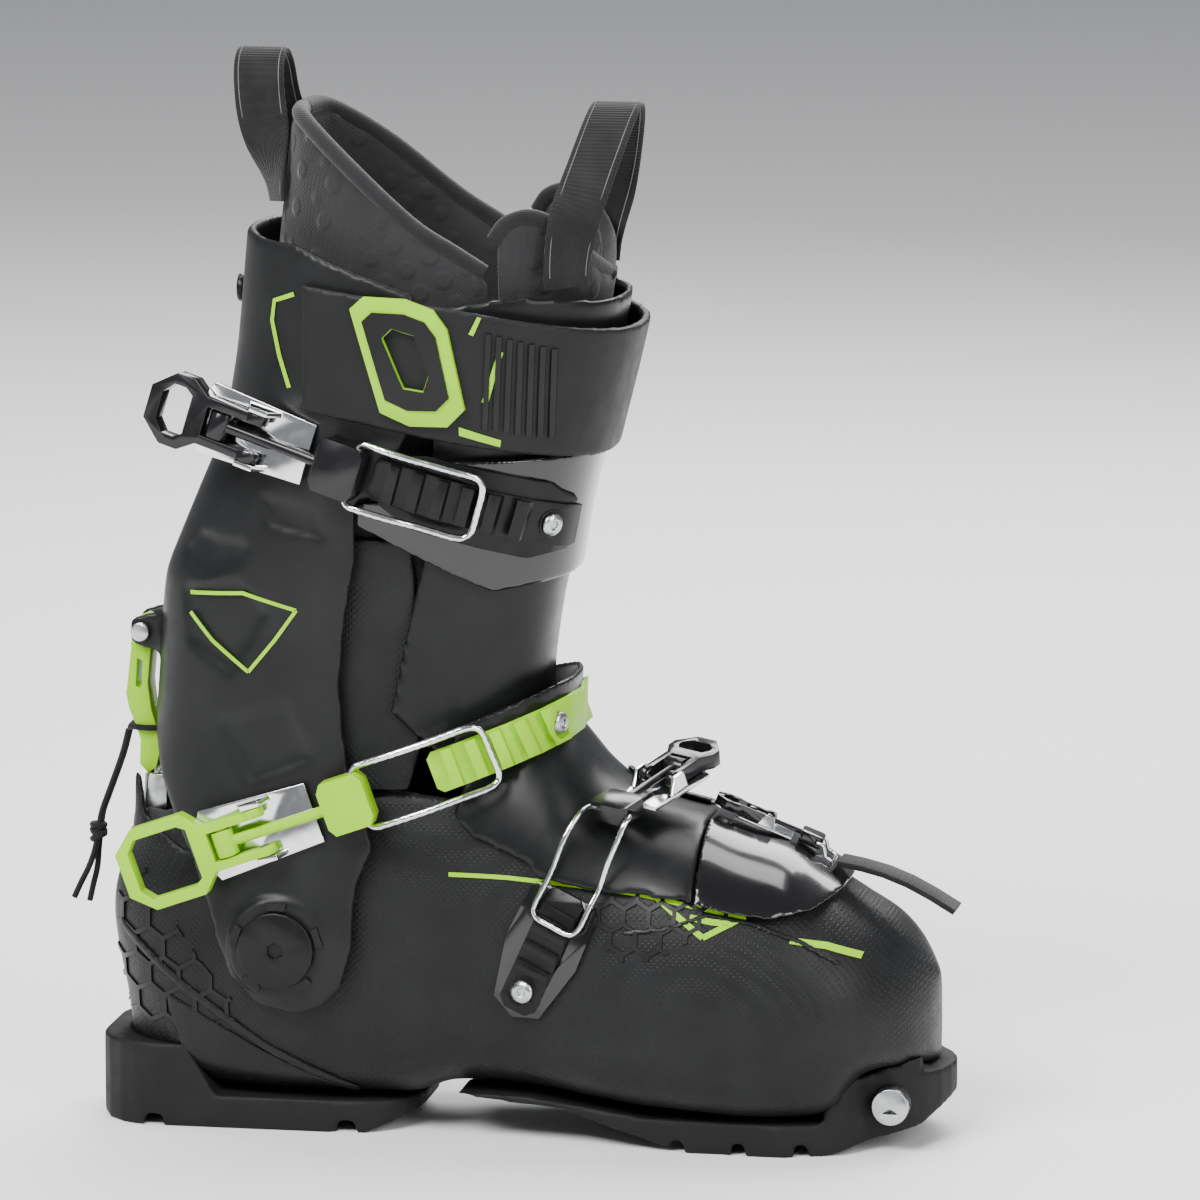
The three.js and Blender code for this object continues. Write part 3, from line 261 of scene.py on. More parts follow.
# ---- Forms of the foot and the leg, in millimetres -----------------------------------------------------
def along(pairs):
    """A cubic curve through (place, value) pairs."""
    t = np.array([p[0] for p in pairs], float)
    v = np.array([p[1] for p in pairs], float)
    slope = np.empty_like(v)
    slope[1:-1] = (v[2:] - v[:-2]) / (t[2:] - t[:-2])
    slope[0] = (v[1] - v[0]) / (t[1] - t[0])
    slope[-1] = (v[-1] - v[-2]) / (t[-1] - t[-2])

    def value(x):
        x = np.clip(np.asarray(x, float), t[0], t[-1])
        i = np.clip(np.searchsorted(t, x, side="right") - 1, 0, len(t) - 2)
        h = t[i + 1] - t[i]
        s = (x - t[i]) / h
        return ((2 * s ** 3 - 3 * s ** 2 + 1) * v[i] + (s ** 3 - 2 * s ** 2 + s) * h * slope[i]
                + (3 * s ** 2 - 2 * s ** 3) * v[i + 1] + (s ** 3 - s ** 2) * h * slope[i + 1])

    return value


foot_start, foot_end = -33, 266
heel_round, toe_round = 34, 36
foot_half = along([(-35, 34), (0, 38), (37, 45), (75, 45), (110, 45), (150, 51), (185, 55), (215, 54),
                   (240, 49), (258, 45), (272, 43)])
foot_centre = along([(-35, 0), (60, 0), (110, 0), (190, -1), (240, 2), (272, 5)])
foot_top = along([(-33, 132), (60, 150), (118, 152), (130, 146), (137, 139), (145, 129), (155, 121),
                  (165, 116), (187, 110), (200, 105), (216, 100), (227, 93), (238, 86), (250, 79),
                  (258, 71), (266, 58)])
foot_waist = along([(-33, 62), (40, 72), (100, 62), (150, 48), (200, 40), (236, 40), (266, 40)])
foot_base = along([(-33, 12), (80, 12), (95, 17), (125, 17), (150, 14), (170, 12), (232, 12), (243, 27),
                   (266, 27)])
heel_lean = along([(12, 6), (32, 6), (45, 4.5), (57, 2), (70, 0), (76, 0), (84, 1), (90, 3), (99, 6),
                   (112, 7), (124, 6)])
top_power, base_power, leg_power = 2.5, 3.4, 2.4
leg_back = along([(40, -20), (118, -19), (148, -16), (174, -14), (197, -12), (208, -8), (227, 0),
                  (249, 9), (273, 14), (289, 16), (322, 19), (370, 24)])
leg_front = along([(40, 126), (120, 130), (165, 131), (188, 134), (203, 137), (226, 141), (250, 147),
                   (283, 155), (322, 163), (370, 170)])
leg_half = along([(40, 51), (70, 53), (110, 50.5), (150, 49), (190, 49.5), (230, 52), (270, 56),
                  (322, 58), (370, 55)])


def foot_point(x, angle, grow):
    heel = np.minimum((x - foot_start + grow) / (heel_round + grow), 1)
    toe = np.minimum((foot_end + grow - x) / (toe_round + grow), 1)
    end = np.sqrt(np.maximum(1 - (1 - heel) ** 2, 0)) * np.sqrt(np.maximum(1 - (1 - toe) ** 2, 0))
    inside = np.clip(x, foot_start, foot_end)
    half = np.maximum((foot_half(inside) + grow) * end, 0.01)
    top, waist, base = foot_top(inside) + grow, foot_waist(inside), foot_base(inside) - grow
    c, n = np.cos(angle), np.sin(angle)
    power = np.where(n > 0, top_power, base_power)
    rise = np.where(n > 0, top - waist, waist - base)
    y = foot_centre(inside) + half * np.sign(c) * np.abs(c) ** (2 / power)
    z = waist + rise * np.sign(n) * np.abs(n) ** (2 / power)
    lean = heel_lean(z) * np.clip((30 - x) / 63, 0, 1)
    return np.stack(np.broadcast_arrays(x + lean, y, z), axis=-1)


def leg_point(z, angle, grow):
    reach = (leg_front(z) - leg_back(z)) / 2 + grow
    c, n = np.cos(angle), np.sin(angle)
    x = (leg_front(z) + leg_back(z)) / 2 - reach * np.sign(c) * np.abs(c) ** (2 / leg_power)
    y = -(leg_half(z) + grow) * np.sign(n) * np.abs(n) ** (2 / leg_power)
    return np.stack(np.broadcast_arrays(x, y, z), axis=-1)


# ---- Solids --------------------------------------------------------------------------------------------
pivot_x, pivot_z = 37, 70
beyond_side = 95
lateral_half = (-beyond_side, 0)
shell_wall, cuff_wall = 3.2, 3.5
pivot_hole_radius = 6


def solid(name, verts, faces):
    """A mesh object from points in millimetres, with its faces outward."""
    mesh = bpy.data.meshes.new(name)
    mesh.from_pydata([tuple(v) for v in np.asarray(verts, float) * MM], [], faces)
    work = bmesh.new()
    work.from_mesh(mesh)
    bmesh.ops.recalc_face_normals(work, faces=work.faces)
    work.to_mesh(mesh)
    work.free()
    piece = bpy.data.objects.new(name, mesh)
    collection.objects.link(piece)
    return piece


def loft(rows, closed=False):
    """A closed skin over rings of points; closed joins the last ring to the first."""
    rows = np.asarray(rows, float)
    count, ring = rows.shape[0], rows.shape[1]
    faces = []
    for r in range(count if closed else count - 1):
        s = (r + 1) % count
        for i in range(ring):
            j = (i + 1) % ring
            faces.append((r * ring + i, r * ring + j, s * ring + j, s * ring + i))
    if not closed:
        faces.append(tuple(range(ring)))
        faces.append(tuple((count - 1) * ring + i for i in range(ring)))
    return solid("work", rows.reshape(-1, 3), faces)


ring_angles = np.linspace(0, 2 * math.pi, 120, endpoint=False)


def foot_form(grow):
    quarter = np.linspace(0, math.pi / 2, 15)
    heel = foot_start - grow + (heel_round + grow) * (1 - np.cos(quarter))
    toe = (foot_end + grow - (toe_round + grow) * (1 - np.cos(quarter)))[::-1]
    places = np.concatenate([heel, np.linspace(heel[-1], toe[0], 75)[1:-1], toe])
    return loft(foot_point(places[:, None], ring_angles[None, :], grow))


def leg_form(grow, low, high):
    heights = np.linspace(low, high, int((high - low) / 4) + 2)
    return loft(leg_point(heights[:, None], ring_angles[None, :], grow))


def across(outline, low=-beyond_side, high=beyond_side):
    """A side outline of (x, z) points, pushed across the boot from y low to y high."""
    front = [(x, low, z) for x, z in outline]
    rear = [(x, high, z) for x, z in outline]
    return loft([front, rear])


def rod(x, z, radius, y0, y1, sides=40):
    turn = np.linspace(0, 2 * math.pi, sides, endpoint=False)
    return across([(x + radius * math.cos(a), z + radius * math.sin(a)) for a in turn], y0, y1)


def joined(parts):
    """Several separate solids as one object."""
    work = bmesh.new()
    for part in parts:
        work.from_mesh(part.data)
        discard(part)
    mesh = bpy.data.meshes.new("work")
    work.to_mesh(mesh)
    work.free()
    piece = bpy.data.objects.new("work", mesh)
    collection.objects.link(piece)
    return piece


def discard(piece):
    mesh = piece.data
    bpy.data.objects.remove(piece)
    bpy.data.meshes.remove(mesh)


def settle_modifiers(piece):
    """Leaves the piece's modifiers' result in its mesh."""
    bpy.context.view_layer.update()
    shown = piece.evaluated_get(bpy.context.evaluated_depsgraph_get())
    mesh = bpy.data.meshes.new_from_object(shown)
    old = piece.data
    piece.modifiers.clear()
    piece.data = mesh
    bpy.data.meshes.remove(old)
    return piece


def combine(piece, other, operation):
    change = piece.modifiers.new("combine", "BOOLEAN")
    change.operation = operation
    change.solver = "MANIFOLD"
    change.object = other
    settle_modifiers(piece)
    discard(other)
    return piece


def within(piece, other):
    return combine(piece, other, "INTERSECT")


def without(piece, other):
    return combine(piece, other, "DIFFERENCE")


def plus(piece, other):
    return combine(piece, other, "UNION")


def foot_layer(inner, outer):
    return without(foot_form(outer), foot_form(inner))


def leg_layer(inner, outer, low, high):
    return without(leg_form(outer, low, high), leg_form(inner, low - 2, high + 2))


def place(piece, name, body, slot, surface, replaced=(), angle=35):
    """Names, paints and shades a piece, and lets it ride on its body."""
    piece.name = name
    piece.data.name = name
    paint(piece, surface)
    if piece.type == "MESH":
        piece.data.shade_smooth()
        piece.data.set_sharp_from_angle(angle=math.radians(angle))
    if body:
        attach(piece, body)
    if replaced:
        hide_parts(*replaced)
    return piece


def moulded(piece, voxel, rounds):
    """Rounds the edges of a solid, as a moulding's are."""
    remesh = piece.modifiers.new("remesh", "REMESH")
    remesh.mode = "VOXEL"
    remesh.voxel_size = voxel * MM
    smooth = piece.modifiers.new("smooth", "SMOOTH")
    smooth.factor = 0.5
    smooth.iterations = rounds
    return settle_modifiers(piece)


def cad_copy(name):
    piece = bpy.data.objects.new("work", nodes[name].data.copy())
    collection.objects.link(piece)
    work = bmesh.new()
    work.from_mesh(piece.data)
    bmesh.ops.remove_doubles(work, verts=work.verts, dist=1e-6)
    work.to_mesh(piece.data)
    work.free()
    return piece


# ---- Cord, knot and lever wrap -------------------------------------------------------------------------
knot_parts = []
for turn, tilt in ((0, 0.5), (1, -0.45), (2, 0.05)):
    angles = np.linspace(0, 2 * math.pi, 28, endpoint=False)
    centre = np.array(knot_centre) + (0, 0, 2.1 * (turn - 1))
    ring = [centre + (2.1 * math.cos(a), 2.1 * math.sin(a),
                      2.1 * math.sin(tilt) * math.cos(a + turn)) for a in angles]
    knot_parts.append(ring)


def tube_mesh(points, radius, closed=False, sides=10):
    points = np.asarray(points, float)
    ahead = np.roll(points, -1, axis=0)
    behind = np.roll(points, 1, axis=0)
    if not closed:
        ahead[-1], behind[0] = points[-1], points[0]
    run = ahead - behind
    run /= np.linalg.norm(run, axis=1)[:, None]
    side = np.cross(run, (0.13, 0.97, 0.21))
    side /= np.linalg.norm(side, axis=1)[:, None]
    rise = np.cross(run, side)
    turn = np.linspace(0, 2 * math.pi, sides, endpoint=False)
    rings = points[:, None] + radius * (np.cos(turn)[None, :, None] * side[:, None]
                                        + np.sin(turn)[None, :, None] * rise[:, None])
    return loft(rings, closed)


knot = joined([tube_mesh(ring, 1.2, closed=True) for ring in knot_parts])
place(knot, "lever_cord_knot", "walk_lever", "webbing", webbing, ["cord_knot"])
for piece, route, name in cords:
    place(piece, piece.name, "walk_lever", "webbing", webbing,
          [f"cord_strand_{name}", f"cord_tail_{name}"])
wrap_path = smooth_path([(-26.3, -5.2, 139.2), (-22, -7.4, 139.2), (-18, -7.4, 139.2), (-15, -4.5, 139.2),
                         (-15, 4.5, 139.2), (-18, 7.4, 139.2), (-22, 7.4, 139.2), (-26.3, 5.2, 139.2),
                         (-26.3, -5.2, 139.2)], 50)[:-1]
place(tube_mesh(wrap_path, 1.1, closed=True), "lever_wrap", "walk_lever", "webbing", webbing,
      ["walk_lever_wrap"])

# ---- Lower shell ---------------------------------------------------------------------------------------
shell_outline = [(-60, 124), (-22, 124), (-18, 110), (0, 101), (30, 110), (75, 126), (105, 122),
                 (130, 109), (160, 103), (190, 99), (212, 97), (226, 97), (226, 160), (300, 160),
                 (300, 0), (-60, 0)]
lower = within(foot_layer(-shell_wall, 0), across(shell_outline))
lower = without(lower, rod(pivot_x, pivot_z, pivot_hole_radius, -beyond_side, beyond_side))
lower = without(lower, across([(-60, 130), (-60, 102), (-16, 102), (-8, 116), (-6, 130)], -8, 8))
place(moulded(lower, 1.45, 6), "lower_shell_moulding", "shell", "shell", dotted, ["lower_shell"], 60)


def hexagon(x, z, radius):
    return [(x + radius * math.cos(math.radians(60 * i + 30)),
             z + radius * math.sin(math.radians(60 * i + 30))) for i in range(6)]


def honeycomb(outline, pitch, wall, layer):
    """Raised ribs in a honeycomb over a side outline."""
    xs, zs = [p[0] for p in outline], [p[1] for p in outline]
    cells, row, z = [], 0, min(zs)
    while z < max(zs) + pitch:
        x = min(xs) + (pitch / 2 if row % 2 else 0)
        while x < max(xs) + pitch:
            cells.append(across(hexagon(x, z, (pitch - wall) / math.sqrt(3))))
            x += pitch
        z += pitch * math.sqrt(3) / 2
        row += 1
    ribs = within(layer, across(outline))
    return without(ribs, joined(cells))


rear_ribs = honeycomb([(-32, 40), (-27, 100), (-16, 92), (6, 62), (22, 44), (2, 34)], 12, 1.6,
                      foot_layer(-0.5, 0.7))
place(rear_ribs, "heel_ribs", "shell", "shell", satin)
side_ribs = honeycomb([(138, 91), (152, 76), (158, 70), (172, 71), (186, 79), (200, 88), (222, 94),
                       (190, 95)], 9, 1.4, foot_layer(-0.5, 0.6))
place(side_ribs, "toe_ribs", "shell", "shell", satin)


def ribbon(points, width):
    """A side outline of the given width along a line of (x, z) points."""
    p = np.array(points, float)
    run = np.gradient(p, axis=0)
    run /= np.linalg.norm(run, axis=1)[:, None]
    off = np.stack([-run[:, 1], run[:, 0]], axis=1) * width / 2
    return [tuple(q) for q in np.vstack([p + off, (p - off)[::-1]])]


diagonal = within(foot_layer(-0.5, 1.1), across(ribbon([(-27, 72), (0, 52), (30, 32), (62, 15)], 3.2)))
place(moulded(diagonal, 0.8, 2), "heel_rib_diagonal", "shell", "shell", satin)
panel = within(foot_layer(-0.5, 0.8), across([(-8, 50), (0, 20), (58, 16), (28, 31)]))
place(moulded(panel, 0.8, 2), "heel_panel", "shell", "shell", smooth_black)
accent = within(foot_layer(-0.3, 0.35), across(ribbon([(97, 97.2), (118, 97), (137, 96), (152, 94.6),
                                                       (167, 92.8), (185, 89.5), (202, 86.2)], 1.5)))
place(accent, "shell_accent", "shell", "green", green)
arrow_lines = [[(172, 92), (180, 86), (189, 79.5)], [(189, 79.5), (196, 83), (203, 86.4)],
               [(184, 86), (192, 84.6), (199, 84)]]
for i, line in enumerate(arrow_lines + [[(219, 78.4), (231, 76), (243, 71.6)]]):
    strip = within(foot_layer(-0.3, 0.38), across(ribbon(line, 2.0), *lateral_half))
    place(strip, f"shell_accent_mark_{i}", "shell", "green", green)
edge_band = within(foot_layer(-0.4, 0.9), across(ribbon([(236, 70), (222, 78), (206, 84), (190, 87),
                                                         (176, 82), (160, 80)], 1.6)))
place(moulded(edge_band, 0.7, 2), "toe_crease", "shell", "shell", satin)

for name in ("heel_sole", "toe_sole"):
    place(moulded(cad_copy(name), 1.1, 3), f"{name}_moulding", "shell", "rubber", rubber, [name], 60)

# ---- Tongue, one piece from the toe to the shin ---------------------------------------------------------
low_tongue = within(foot_layer(0.5, 3.5), across([(112, 156), (104, 140), (98, 118), (105, 111),
                                                  (127, 102), (128, 98), (150, 94), (164, 93), (185, 91),
                                                  (185, 156)]))
high_tongue = within(leg_layer(-7.1, -4.1, 118, 312),
                     across([(76, 154), (81, 178), (88, 209), (92, 250), (95, 300), (125, 304),
                             (180, 296), (180, 128), (112, 128), (92, 140)]))
tongue = moulded(plus(low_tongue, high_tongue), 1.25, 14)
place(tongue, "tongue", None, "tongue", tongue_satin, ["tongue_upper", "tongue_lower"], 60)
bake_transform(tongue)
cover = within(foot_layer(0.5, 4.7), across([(185.5, 91), (197, 88), (212, 86), (226, 88), (236, 93),
                                             (238, 100), (238, 150), (185.5, 150)]))
place(moulded(cover, 0.8, 10), "toe_cover_moulding", "shell", "gloss", gloss, ["toe_cover"], 60)

# ---- Cuff ----------------------------------------------------------------------------------------------
cuff_outline = [(-40, 330), (30, 321), (45, 320), (58, 315), (88, 305), (88, 262), (74, 232), (66, 231),
                (65, 209), (61, 187), (59, 165), (60, 150), (62, 135), (68, 118), (71, 107), (65, 92),
                (64, 72), (60, 57), (52, 49), (42, 46), (29, 49), (19, 58), (14, 71), (10, 84),
                (3.6, 100), (-3.4, 112), (-9.5, 125), (-14, 140), (-15, 149), (-40, 149)]
cuff = within(leg_layer(-cuff_wall, 0, 40, 324), across(cuff_outline))
pads = without(rod(pivot_x, pivot_z, 18, -53.2, 53.2, 60), rod(pivot_x, pivot_z, 19, -50.2, 50.2, 60))
cuff = plus(cuff, pads)
ear = [(-25.5, 170.7), (-21, 168.7), (-9, 165.7), (-9, 183.7), (-21, 180.7), (-25.5, 178.7)]
ears = joined([across(ear, -9.85, -6.85), across(ear, 6.85, 9.85)])
ears = without(ears, leg_form(-cuff_wall, 38, 326))
cuff = plus(cuff, without(ears, rod(-21, 174.7, 2.1, -20, 20)))
cuff = without(cuff, rod(pivot_x, pivot_z, pivot_hole_radius, -beyond_side, beyond_side))
recesses = [
    [(-2, 206), (6, 216), (26, 214), (24, 206), (8, 200)],
    [(0, 196), (22, 201), (34, 190), (20, 166), (2, 176)],
    [(30, 232), (52, 228), (56, 216), (34, 220)],
    [(14, 150), (40, 158), (50, 138), (26, 128)],
]
for outline in recesses:
    cuff = without(cuff, within(leg_layer(-1.1, 3, 60, 320), across(outline)))
place(moulded(cuff, 1.35, 7), "cuff_moulding", "cuff", "shell", satin, ["cuff_shell"], 60)
flap = within(leg_layer(-cuff_wall, 0, 188, 255),
              across([(89, 246), (82, 246), (74.8, 231.2), (66.5, 230.2), (66.2, 222), (112, 198),
                      (180, 206), (180, 246)]))
place(moulded(flap, 0.8, 10), "cuff_flap_moulding", "cuff", "gloss", gloss, ["cuff_flap"], 60)
settle = along([(96, -6.2), (125, -7.5), (230, -7.5)])


def throat_form(inset, low, high):
    heights = np.linspace(low, high, 34)
    return loft(leg_point(heights[:, None], ring_angles[None, :], settle(heights)[:, None] - inset))


guard = without(throat_form(0, 96, 222), throat_form(2.6, 94, 224))
guard = within(guard, across([(34, 126), (36, 188), (-40, 188), (-40, 216), (84, 216), (87, 170),
                              (86, 140), (82, 126)]))
place(moulded(guard, 1.1, 5), "throat_guard_moulding", "cuff", "shell", dotted, ["throat_guard"], 60)

# Accents on the cuff
triangle = [ribbon([(3, 194), (24, 196), (44, 191)], 1.3), ribbon([(3, 187), (12, 178), (26, 168)], 1.3),
            ribbon([(26, 168), (36, 180), (44, 191)], 1.3)]
chevron = [ribbon([(44, 303), (36, 300), (35, 293), (38, 281), (42, 270)], 1.6)]
for i, outline in enumerate(triangle + chevron):
    strip = within(leg_layer(-0.4, 0.35, 60, 320), across(outline, *lateral_half))
    place(strip, f"cuff_accent_{i}", "cuff", "green", green)

# Star relief round each pivot
for name, side in (("lateral", -1), ("medial", 1)):
    parts = []
    for i in range(5):
        a = math.radians(72 * i + 90)
        spread = 0.22
        near, far = 14.4, 17.0
        outline = [(pivot_x + near * math.cos(a - spread), pivot_z + near * math.sin(a - spread)),
                   (pivot_x + near * math.cos(a + spread), pivot_z + near * math.sin(a + spread)),
                   (pivot_x + far * math.cos(a + spread), pivot_z + far * math.sin(a + spread)),
                   (pivot_x + far * math.cos(a - spread), pivot_z + far * math.sin(a - spread))]
        parts.append(across(outline, *sorted((side * 52.6, side * 54.4))))
    place(joined(parts), f"pivot_star_{name}", "cuff", "shell", smooth_black)

# ---- Liner ---------------------------------------------------------------------------------------------
liner_outline = [(-40, 158), (-3, 154), (15, 137), (37, 130), (60, 130), (90, 140), (112, 152),
                 (112, 310), (100, 318), (84, 328), (60, 348), (40, 363), (28, 363), (-40, 352)]
liner_tongue_outline = [(112.6, 165), (112.6, 321), (118, 329), (126, 331), (134, 327), (142, 317),
                        (150, 304), (180, 298), (180, 175)]


def inflated(piece, pressure, cap):
    """Lets the piece swell as padded cloth, no point moving more than cap metres."""
    voxel = piece.modifiers.new("remesh", "REMESH")
    voxel.mode = "VOXEL"
    voxel.voxel_size = 0.0032
    settle_modifiers(piece)
    rest = np.array([v.co for v in piece.data.vertices])
    cloth = piece.modifiers.new("cloth", "CLOTH")
    cloth.settings.use_pressure = True
    cloth.settings.uniform_pressure_force = pressure
    cloth.settings.effector_weights.gravity = 0
    cloth.settings.quality = 5
    cloth.collision_settings.use_collision = False
    cloth.point_cache.frame_start = 1
    cloth.point_cache.frame_end = 14
    for number in range(1, 15):
        bpy.context.scene.frame_set(number)
    settle_modifiers(piece)
    bpy.context.scene.frame_set(1)
    moved = np.array([v.co for v in piece.data.vertices])
    step = moved - rest
    far = np.linalg.norm(step, axis=1)
    step *= np.minimum(1, cap / np.maximum(far, 1e-9))[:, None]
    for vertex, co in zip(piece.data.vertices, rest + step):
        vertex.co = co
    rounds = piece.modifiers.new("smooth", "SMOOTH")
    rounds.iterations = 2
    finer = piece.modifiers.new("finer", "SUBSURF")
    finer.levels = 1
    return settle_modifiers(piece)


tube_layer = leg_layer(-16.0, -11.6, 124, 370)
leg_liner = inflated(within(tube_layer, across(liner_outline)), 4, 0.0011)
place(leg_liner, "liner_leg_padding", "cuff", "liner", mesh_cloth, ["liner_leg"], 80)
front_liner = inflated(within(leg_layer(-16.0, -11.6, 150, 345), across(liner_tongue_outline)), 4, 0.0011)
place(front_liner, "liner_tongue_padding", "cuff", "liner", mesh_cloth, ["liner_tongue"], 80)
foot_liner = moulded(cad_copy("liner_foot"), 2.2, 3)
place(foot_liner, "liner_foot_padding", "shell", "liner", mesh_cloth, ["liner_foot"], 80)


def leg_angle(x, z, side):
    """The ring angle of the place at x on the leg at height z."""
    reach = (leg_front(z) - leg_back(z)) / 2 - 13.8
    c = ((leg_front(z) + leg_back(z)) / 2 - x) / reach
    c = np.sign(c) * np.minimum(np.abs(c), 1) ** (leg_power / 2)
    return side * np.arccos(c)


def rim(outline, grow):
    """Points along a liner's top edge, from one side round the back or front to the other."""
    lateral = [leg_point(z, float(leg_angle(x, z, 1)), grow) for x, z in outline]
    medial = [leg_point(z, float(leg_angle(x, z, -1)), grow) for x, z in reversed(outline)]
    return smooth_path([tuple(p) for p in lateral + medial], 110)


edge = rim([(110, 311), (100, 317.5), (84, 327.5), (60, 347.5), (42, 361), (33, 362.5)], -13.8)
place(tube_mesh(edge, 3.1, sides=14), "liner_piping", "cuff", "liner", knit, angle=80)
front_edge = rim([(113.5, 322.5), (118, 328.4), (126, 330.5), (134, 326.5), (142, 316.6), (148, 307)],
                 -13.8)
place(tube_mesh(front_edge, 2.8, sides=14), "liner_tongue_piping", "cuff", "liner", knit, angle=80)

# ---- Straps and pull loops -----------------------------------------------------------------------------
power = within(leg_layer(0.8, 4.0, 225, 325),
               across([(48, 263), (48, 307), (100, 301), (180, 286), (180, 239), (110, 251)]))
place(moulded(power, 1.0, 6), "power_strap_band", "cuff", "webbing", strap_rubber, ["power_strap"], 60)
for i in range(7):
    x = 112 + 3.6 * i
    rib = within(leg_layer(3.4, 4.9, 225, 325),
                 across([(x, 258 - i * 0.7), (x + 1.8, 258 - i * 0.7), (x + 3.8, 292 - i),
                         (x + 2, 292 - i)], *lateral_half))
    place(rib, f"power_strap_rib_{i}", "cuff", "webbing", satin)
slashes = [[(108, 292), (111, 298), (112.4, 297.6), (109.6, 291.4)],
           [(112, 268), (118, 286), (119.6, 285.4), (114, 267)],
           [(104, 259), (118, 254), (117.6, 251.6), (104, 256)]]
for i, outline in enumerate(slashes):
    strip = within(leg_layer(3.4, 4.45, 225, 325), across(outline, *lateral_half))
    place(strip, f"power_strap_slash_{i}", "cuff", "green", green)
ring_outer = [(-21, 14), (-17, 19), (-2, 21), (8, 19), (14, 13), (24, -14), (19, -21), (6, -23),
              (-5, -20)]
ring_inner = [(-8, 6), (-5, 10), (3, 9), (10, -4), (9, -10), (2, -10)]


def on_ring(outline, scale):
    """The ring's own outline in the side view, where the ring leans 9 degrees."""
    return [(85 + scale * (0.987 * x + 0.158 * z), 283 + scale * (0.987 * z - 0.158 * x))
            for x, z in outline]


inlay = on_ring(ring_outer, 0.76)
inlay_hole = on_ring(ring_inner, 1.02)
inlay = within(leg_layer(6.5, 7.25, 225, 330), across(inlay, *lateral_half))
place(without(inlay, across(inlay_hole, *lateral_half)), "strap_ring_inlay", "cuff", "plastic",
      smooth_black)
strap = within(leg_layer(3.6, 5.6, 90, 180),
               across([(25, 102), (60, 112), (100, 130), (150, 148), (150, 166), (132, 163), (98, 150),
                       (60, 133), (22, 118)]))
strap = without(strap, across([(-100, 0), (100, 0), (100, 400), (-100, 400)], *lateral_half))
place(moulded(strap, 0.9, 3), "instep_strap_band", "cuff", "plastic", engineering,
      ["instep_strap"], 60)
fore = within(foot_layer(3.85, 5.65), across([(150, 60), (178, 60), (180, 90), (184, 140), (152, 140),
                                              (150, 90)], 10, 90))
place(moulded(fore, 0.9, 3), "forefoot_strap_band", "shell", "plastic", engineering, ["forefoot_strap"],
      60)


def webbing_band(line, wide, width, thickness):
    """A woven band with rounded edges along a line, with the direction across it given at each point."""
    run = np.gradient(line, axis=0)
    run /= np.linalg.norm(run, axis=1)[:, None]
    side = wide - run * np.sum(run * wide, axis=1)[:, None]
    side /= np.linalg.norm(side, axis=1)[:, None]
    rise = np.cross(run, side)
    turn = np.linspace(0, 2 * math.pi, 28, endpoint=False)
    u = np.sign(np.cos(turn)) * np.abs(np.cos(turn)) ** 0.25 * width / 2
    v = np.sign(np.sin(turn)) * np.abs(np.sin(turn)) ** 0.7 * thickness / 2
    return loft(line[:, None] + u[None, :, None] * side[:, None] + v[None, :, None] * rise[:, None])


def pull_loop(name, points, low_wide):
    """A loop sewn to both sides of the liner. It twists, so its flat faces look sideways higher up."""
    points = np.array(points, float)
    line = smooth_path([tuple(p) for p in np.vstack([points, points[:-1][::-1] * (1, -1, 1)])], 120)
    twist = np.clip((line[:, 2] - points[0, 2]) / (points[3, 2] - points[0, 2]), 0, 1)
    twist = (twist * twist * (3 - 2 * twist))[:, None]
    mirror = np.where(line[:, 1] > 0, -1.0, 1.0)[:, None]
    low = np.array(low_wide, float)[None, :] * np.concatenate([np.ones_like(mirror), mirror,
                                                               np.ones_like(mirror)], axis=1)
    wide = low * (1 - twist) + np.array([[1.0, 0, 0]]) * twist
    loop = webbing_band(line, wide, 18, 1.9)
    place(loop, f"{name}_webbing", "cuff", "webbing", webbing, [name], 60)
    for offset in (-7.2, 7.2):
        side = wide / np.linalg.norm(wide, axis=1)[:, None]
        for face in (-0.95, 0.95):
            normal = np.cross(np.gradient(line, axis=0), side)
            normal /= np.linalg.norm(normal, axis=1)[:, None]
            seam = line + offset * side + face * normal
            thread = tube_mesh(seam[3:-3], 0.22, sides=5)
            place(thread, f"{name}_seam_{int(offset)}_{int(face > 0)}", "cuff", "webbing", stitch)


pull_loop("rear_pull_loop", [(31.6, -17.5, 331.5), (30.2, -17, 341), (27.5, -15.5, 353),
                             (24.5, -12.5, 366), (23.2, -8.5, 378), (23, 0, 383)], (0.47, -0.88, 0))
pull_loop("front_pull_loop", [(138.2, -37, 306), (138.9, -38.3, 317), (141.5, -35.5, 332),
                              (146, -22, 350), (149, -10, 362), (150, 0, 366)], (0.75, 0.66, 0))

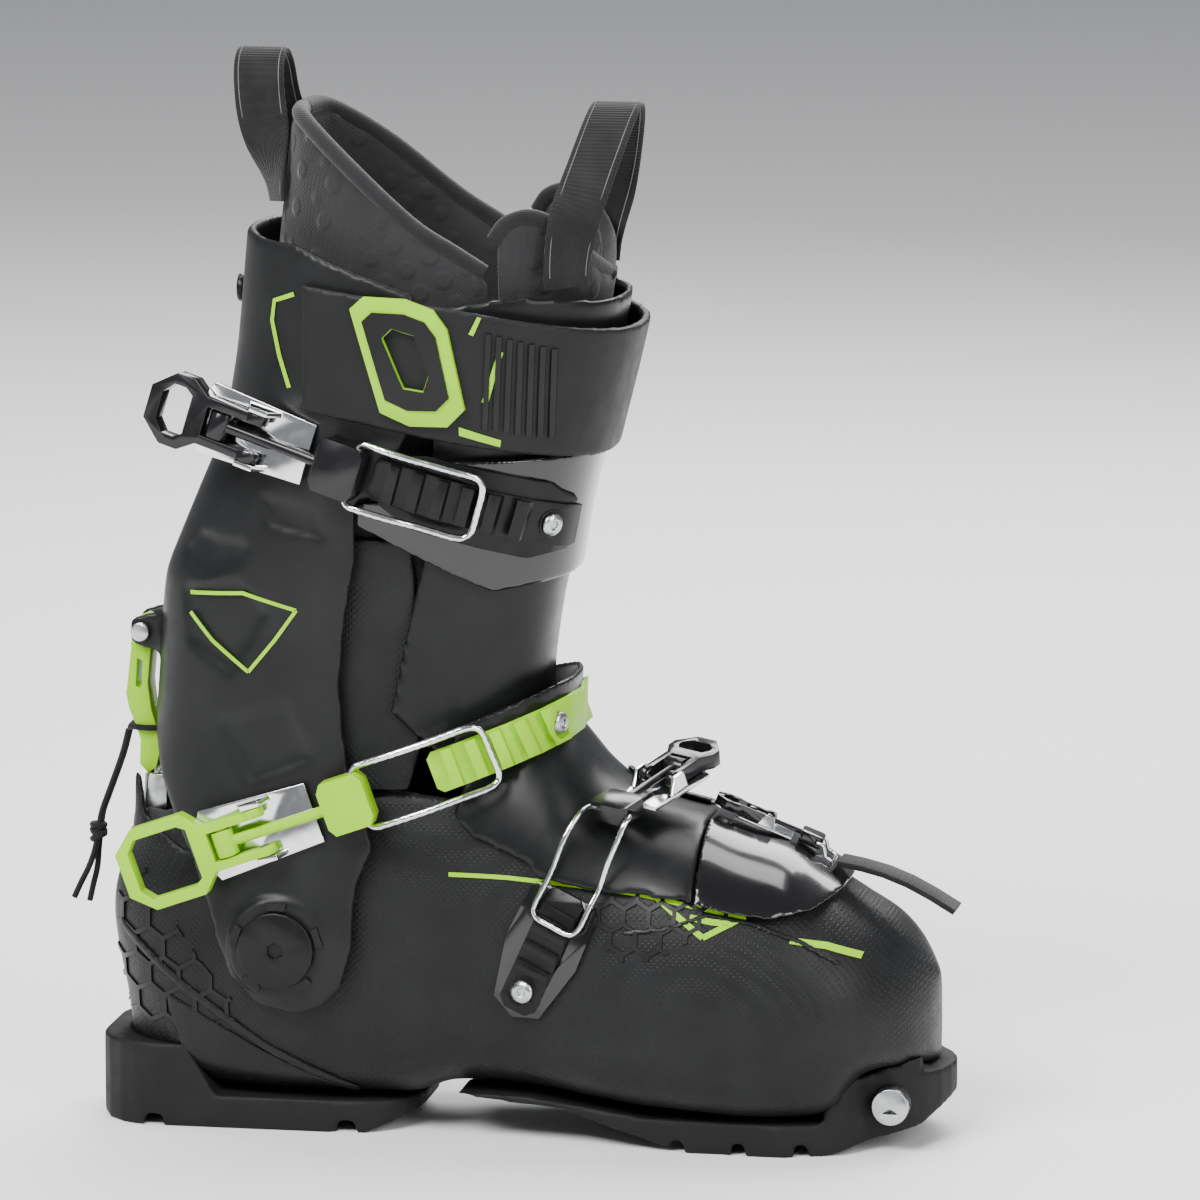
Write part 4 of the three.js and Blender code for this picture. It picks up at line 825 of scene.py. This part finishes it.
# ---- CAD parts that keep their shape --------------------------------------------------------------------
finishes = {
    green: ["walk_lever", "instep_buckle_lever", "instep_buckle_adjuster", "instep_ladder", "strap_ring"],
    chrome: ["cuff_buckle_base", "instep_buckle_base", "forefoot_buckle_base", "toe_clip_base",
             "cuff_buckle_bail", "instep_buckle_bail", "forefoot_buckle_bail", "toe_clip_bail"],
    steel: ["walk_catch_bar", "heel_tech_insert", "toe_tech_insert_lateral", "toe_tech_insert_medial",
            "walk_lever_screw", "instep_rivet", "cuff_ladder_screw", "instep_ladder_screw",
            "forefoot_ladder_screw"],
    alloy: ["cuff_buckle_lever", "cuff_buckle_adjuster", "forefoot_buckle_lever",
            "forefoot_buckle_adjuster"],
    gloss: ["forefoot_ladder_plate", "toe_clip_lever", "toe_clip_adjuster"],
    engineering: ["pivot_bolt_lateral", "pivot_bolt_medial", "boot_board", "cuff_ladder",
                  "cuff_ladder_plate", "forefoot_ladder", "spoiler_bolt"],
    webbing: ["toe_pull_tab"],
}
for surface, names in finishes.items():
    for name in names:
        piece = paint(nodes[name], surface)
        piece.data.shade_smooth()
        weld = piece.modifiers.new("weld", "WELD")
        weld.merge_threshold = 1e-5
        if name.endswith("_bail"):
            finer = piece.modifiers.new("finer", "SUBSURF")
            finer.levels = finer.render_levels = 2
            continue
        bevel = piece.modifiers.new("bevel", "BEVEL")
        bevel.width = 0.00045
        bevel.segments = 2
        bevel.limit_method = "ANGLE"
        bevel.angle_limit = math.radians(40)
        bevel.harden_normals = True

# ---- Floor and light -----------------------------------------------------------------------------------
floor_finish = Surface("pale_floor", (0.86, 0.86, 0.86), 0.7)
floor_reach = 30000
floor_verts = [(x, y, -0.2) for x in (-floor_reach, floor_reach) for y in (-floor_reach, floor_reach)]
floor = solid("floor", floor_verts, [(0, 2, 3, 1)])
paint(floor, floor_finish)


def area_light(name, place_at, size, power):
    data = bpy.data.lights.new(name, "AREA")
    data.shape = "RECTANGLE"
    data.size, data.size_y = size
    data.energy = power
    light = bpy.data.objects.new(name, data)
    collection.objects.link(light)
    light.location = place_at
    toward = Vector((0.12, 0, 0.16)) - Vector(place_at)
    light.rotation_euler = toward.to_track_quat("-Z", "Y").to_euler()


area_light("key", (-0.5, -1.3, 1.5), (1.2, 0.8), 66)
area_light("fill", (1.5, -1.0, 0.9), (0.8, 1.2), 24)
area_light("rim", (0.3, 1.4, 1.3), (1.4, 0.8), 36)
area_light("overhead", (0.0, 0.6, 2.6), (2.5, 1.0), 60)
world = bpy.data.worlds.new("studio")
world.use_nodes = True
world.node_tree.nodes["Background"].inputs["Color"].default_value = (0.93, 0.95, 1.0, 1)
world.node_tree.nodes["Background"].inputs["Strength"].default_value = 0.3
bpy.context.scene.world = world
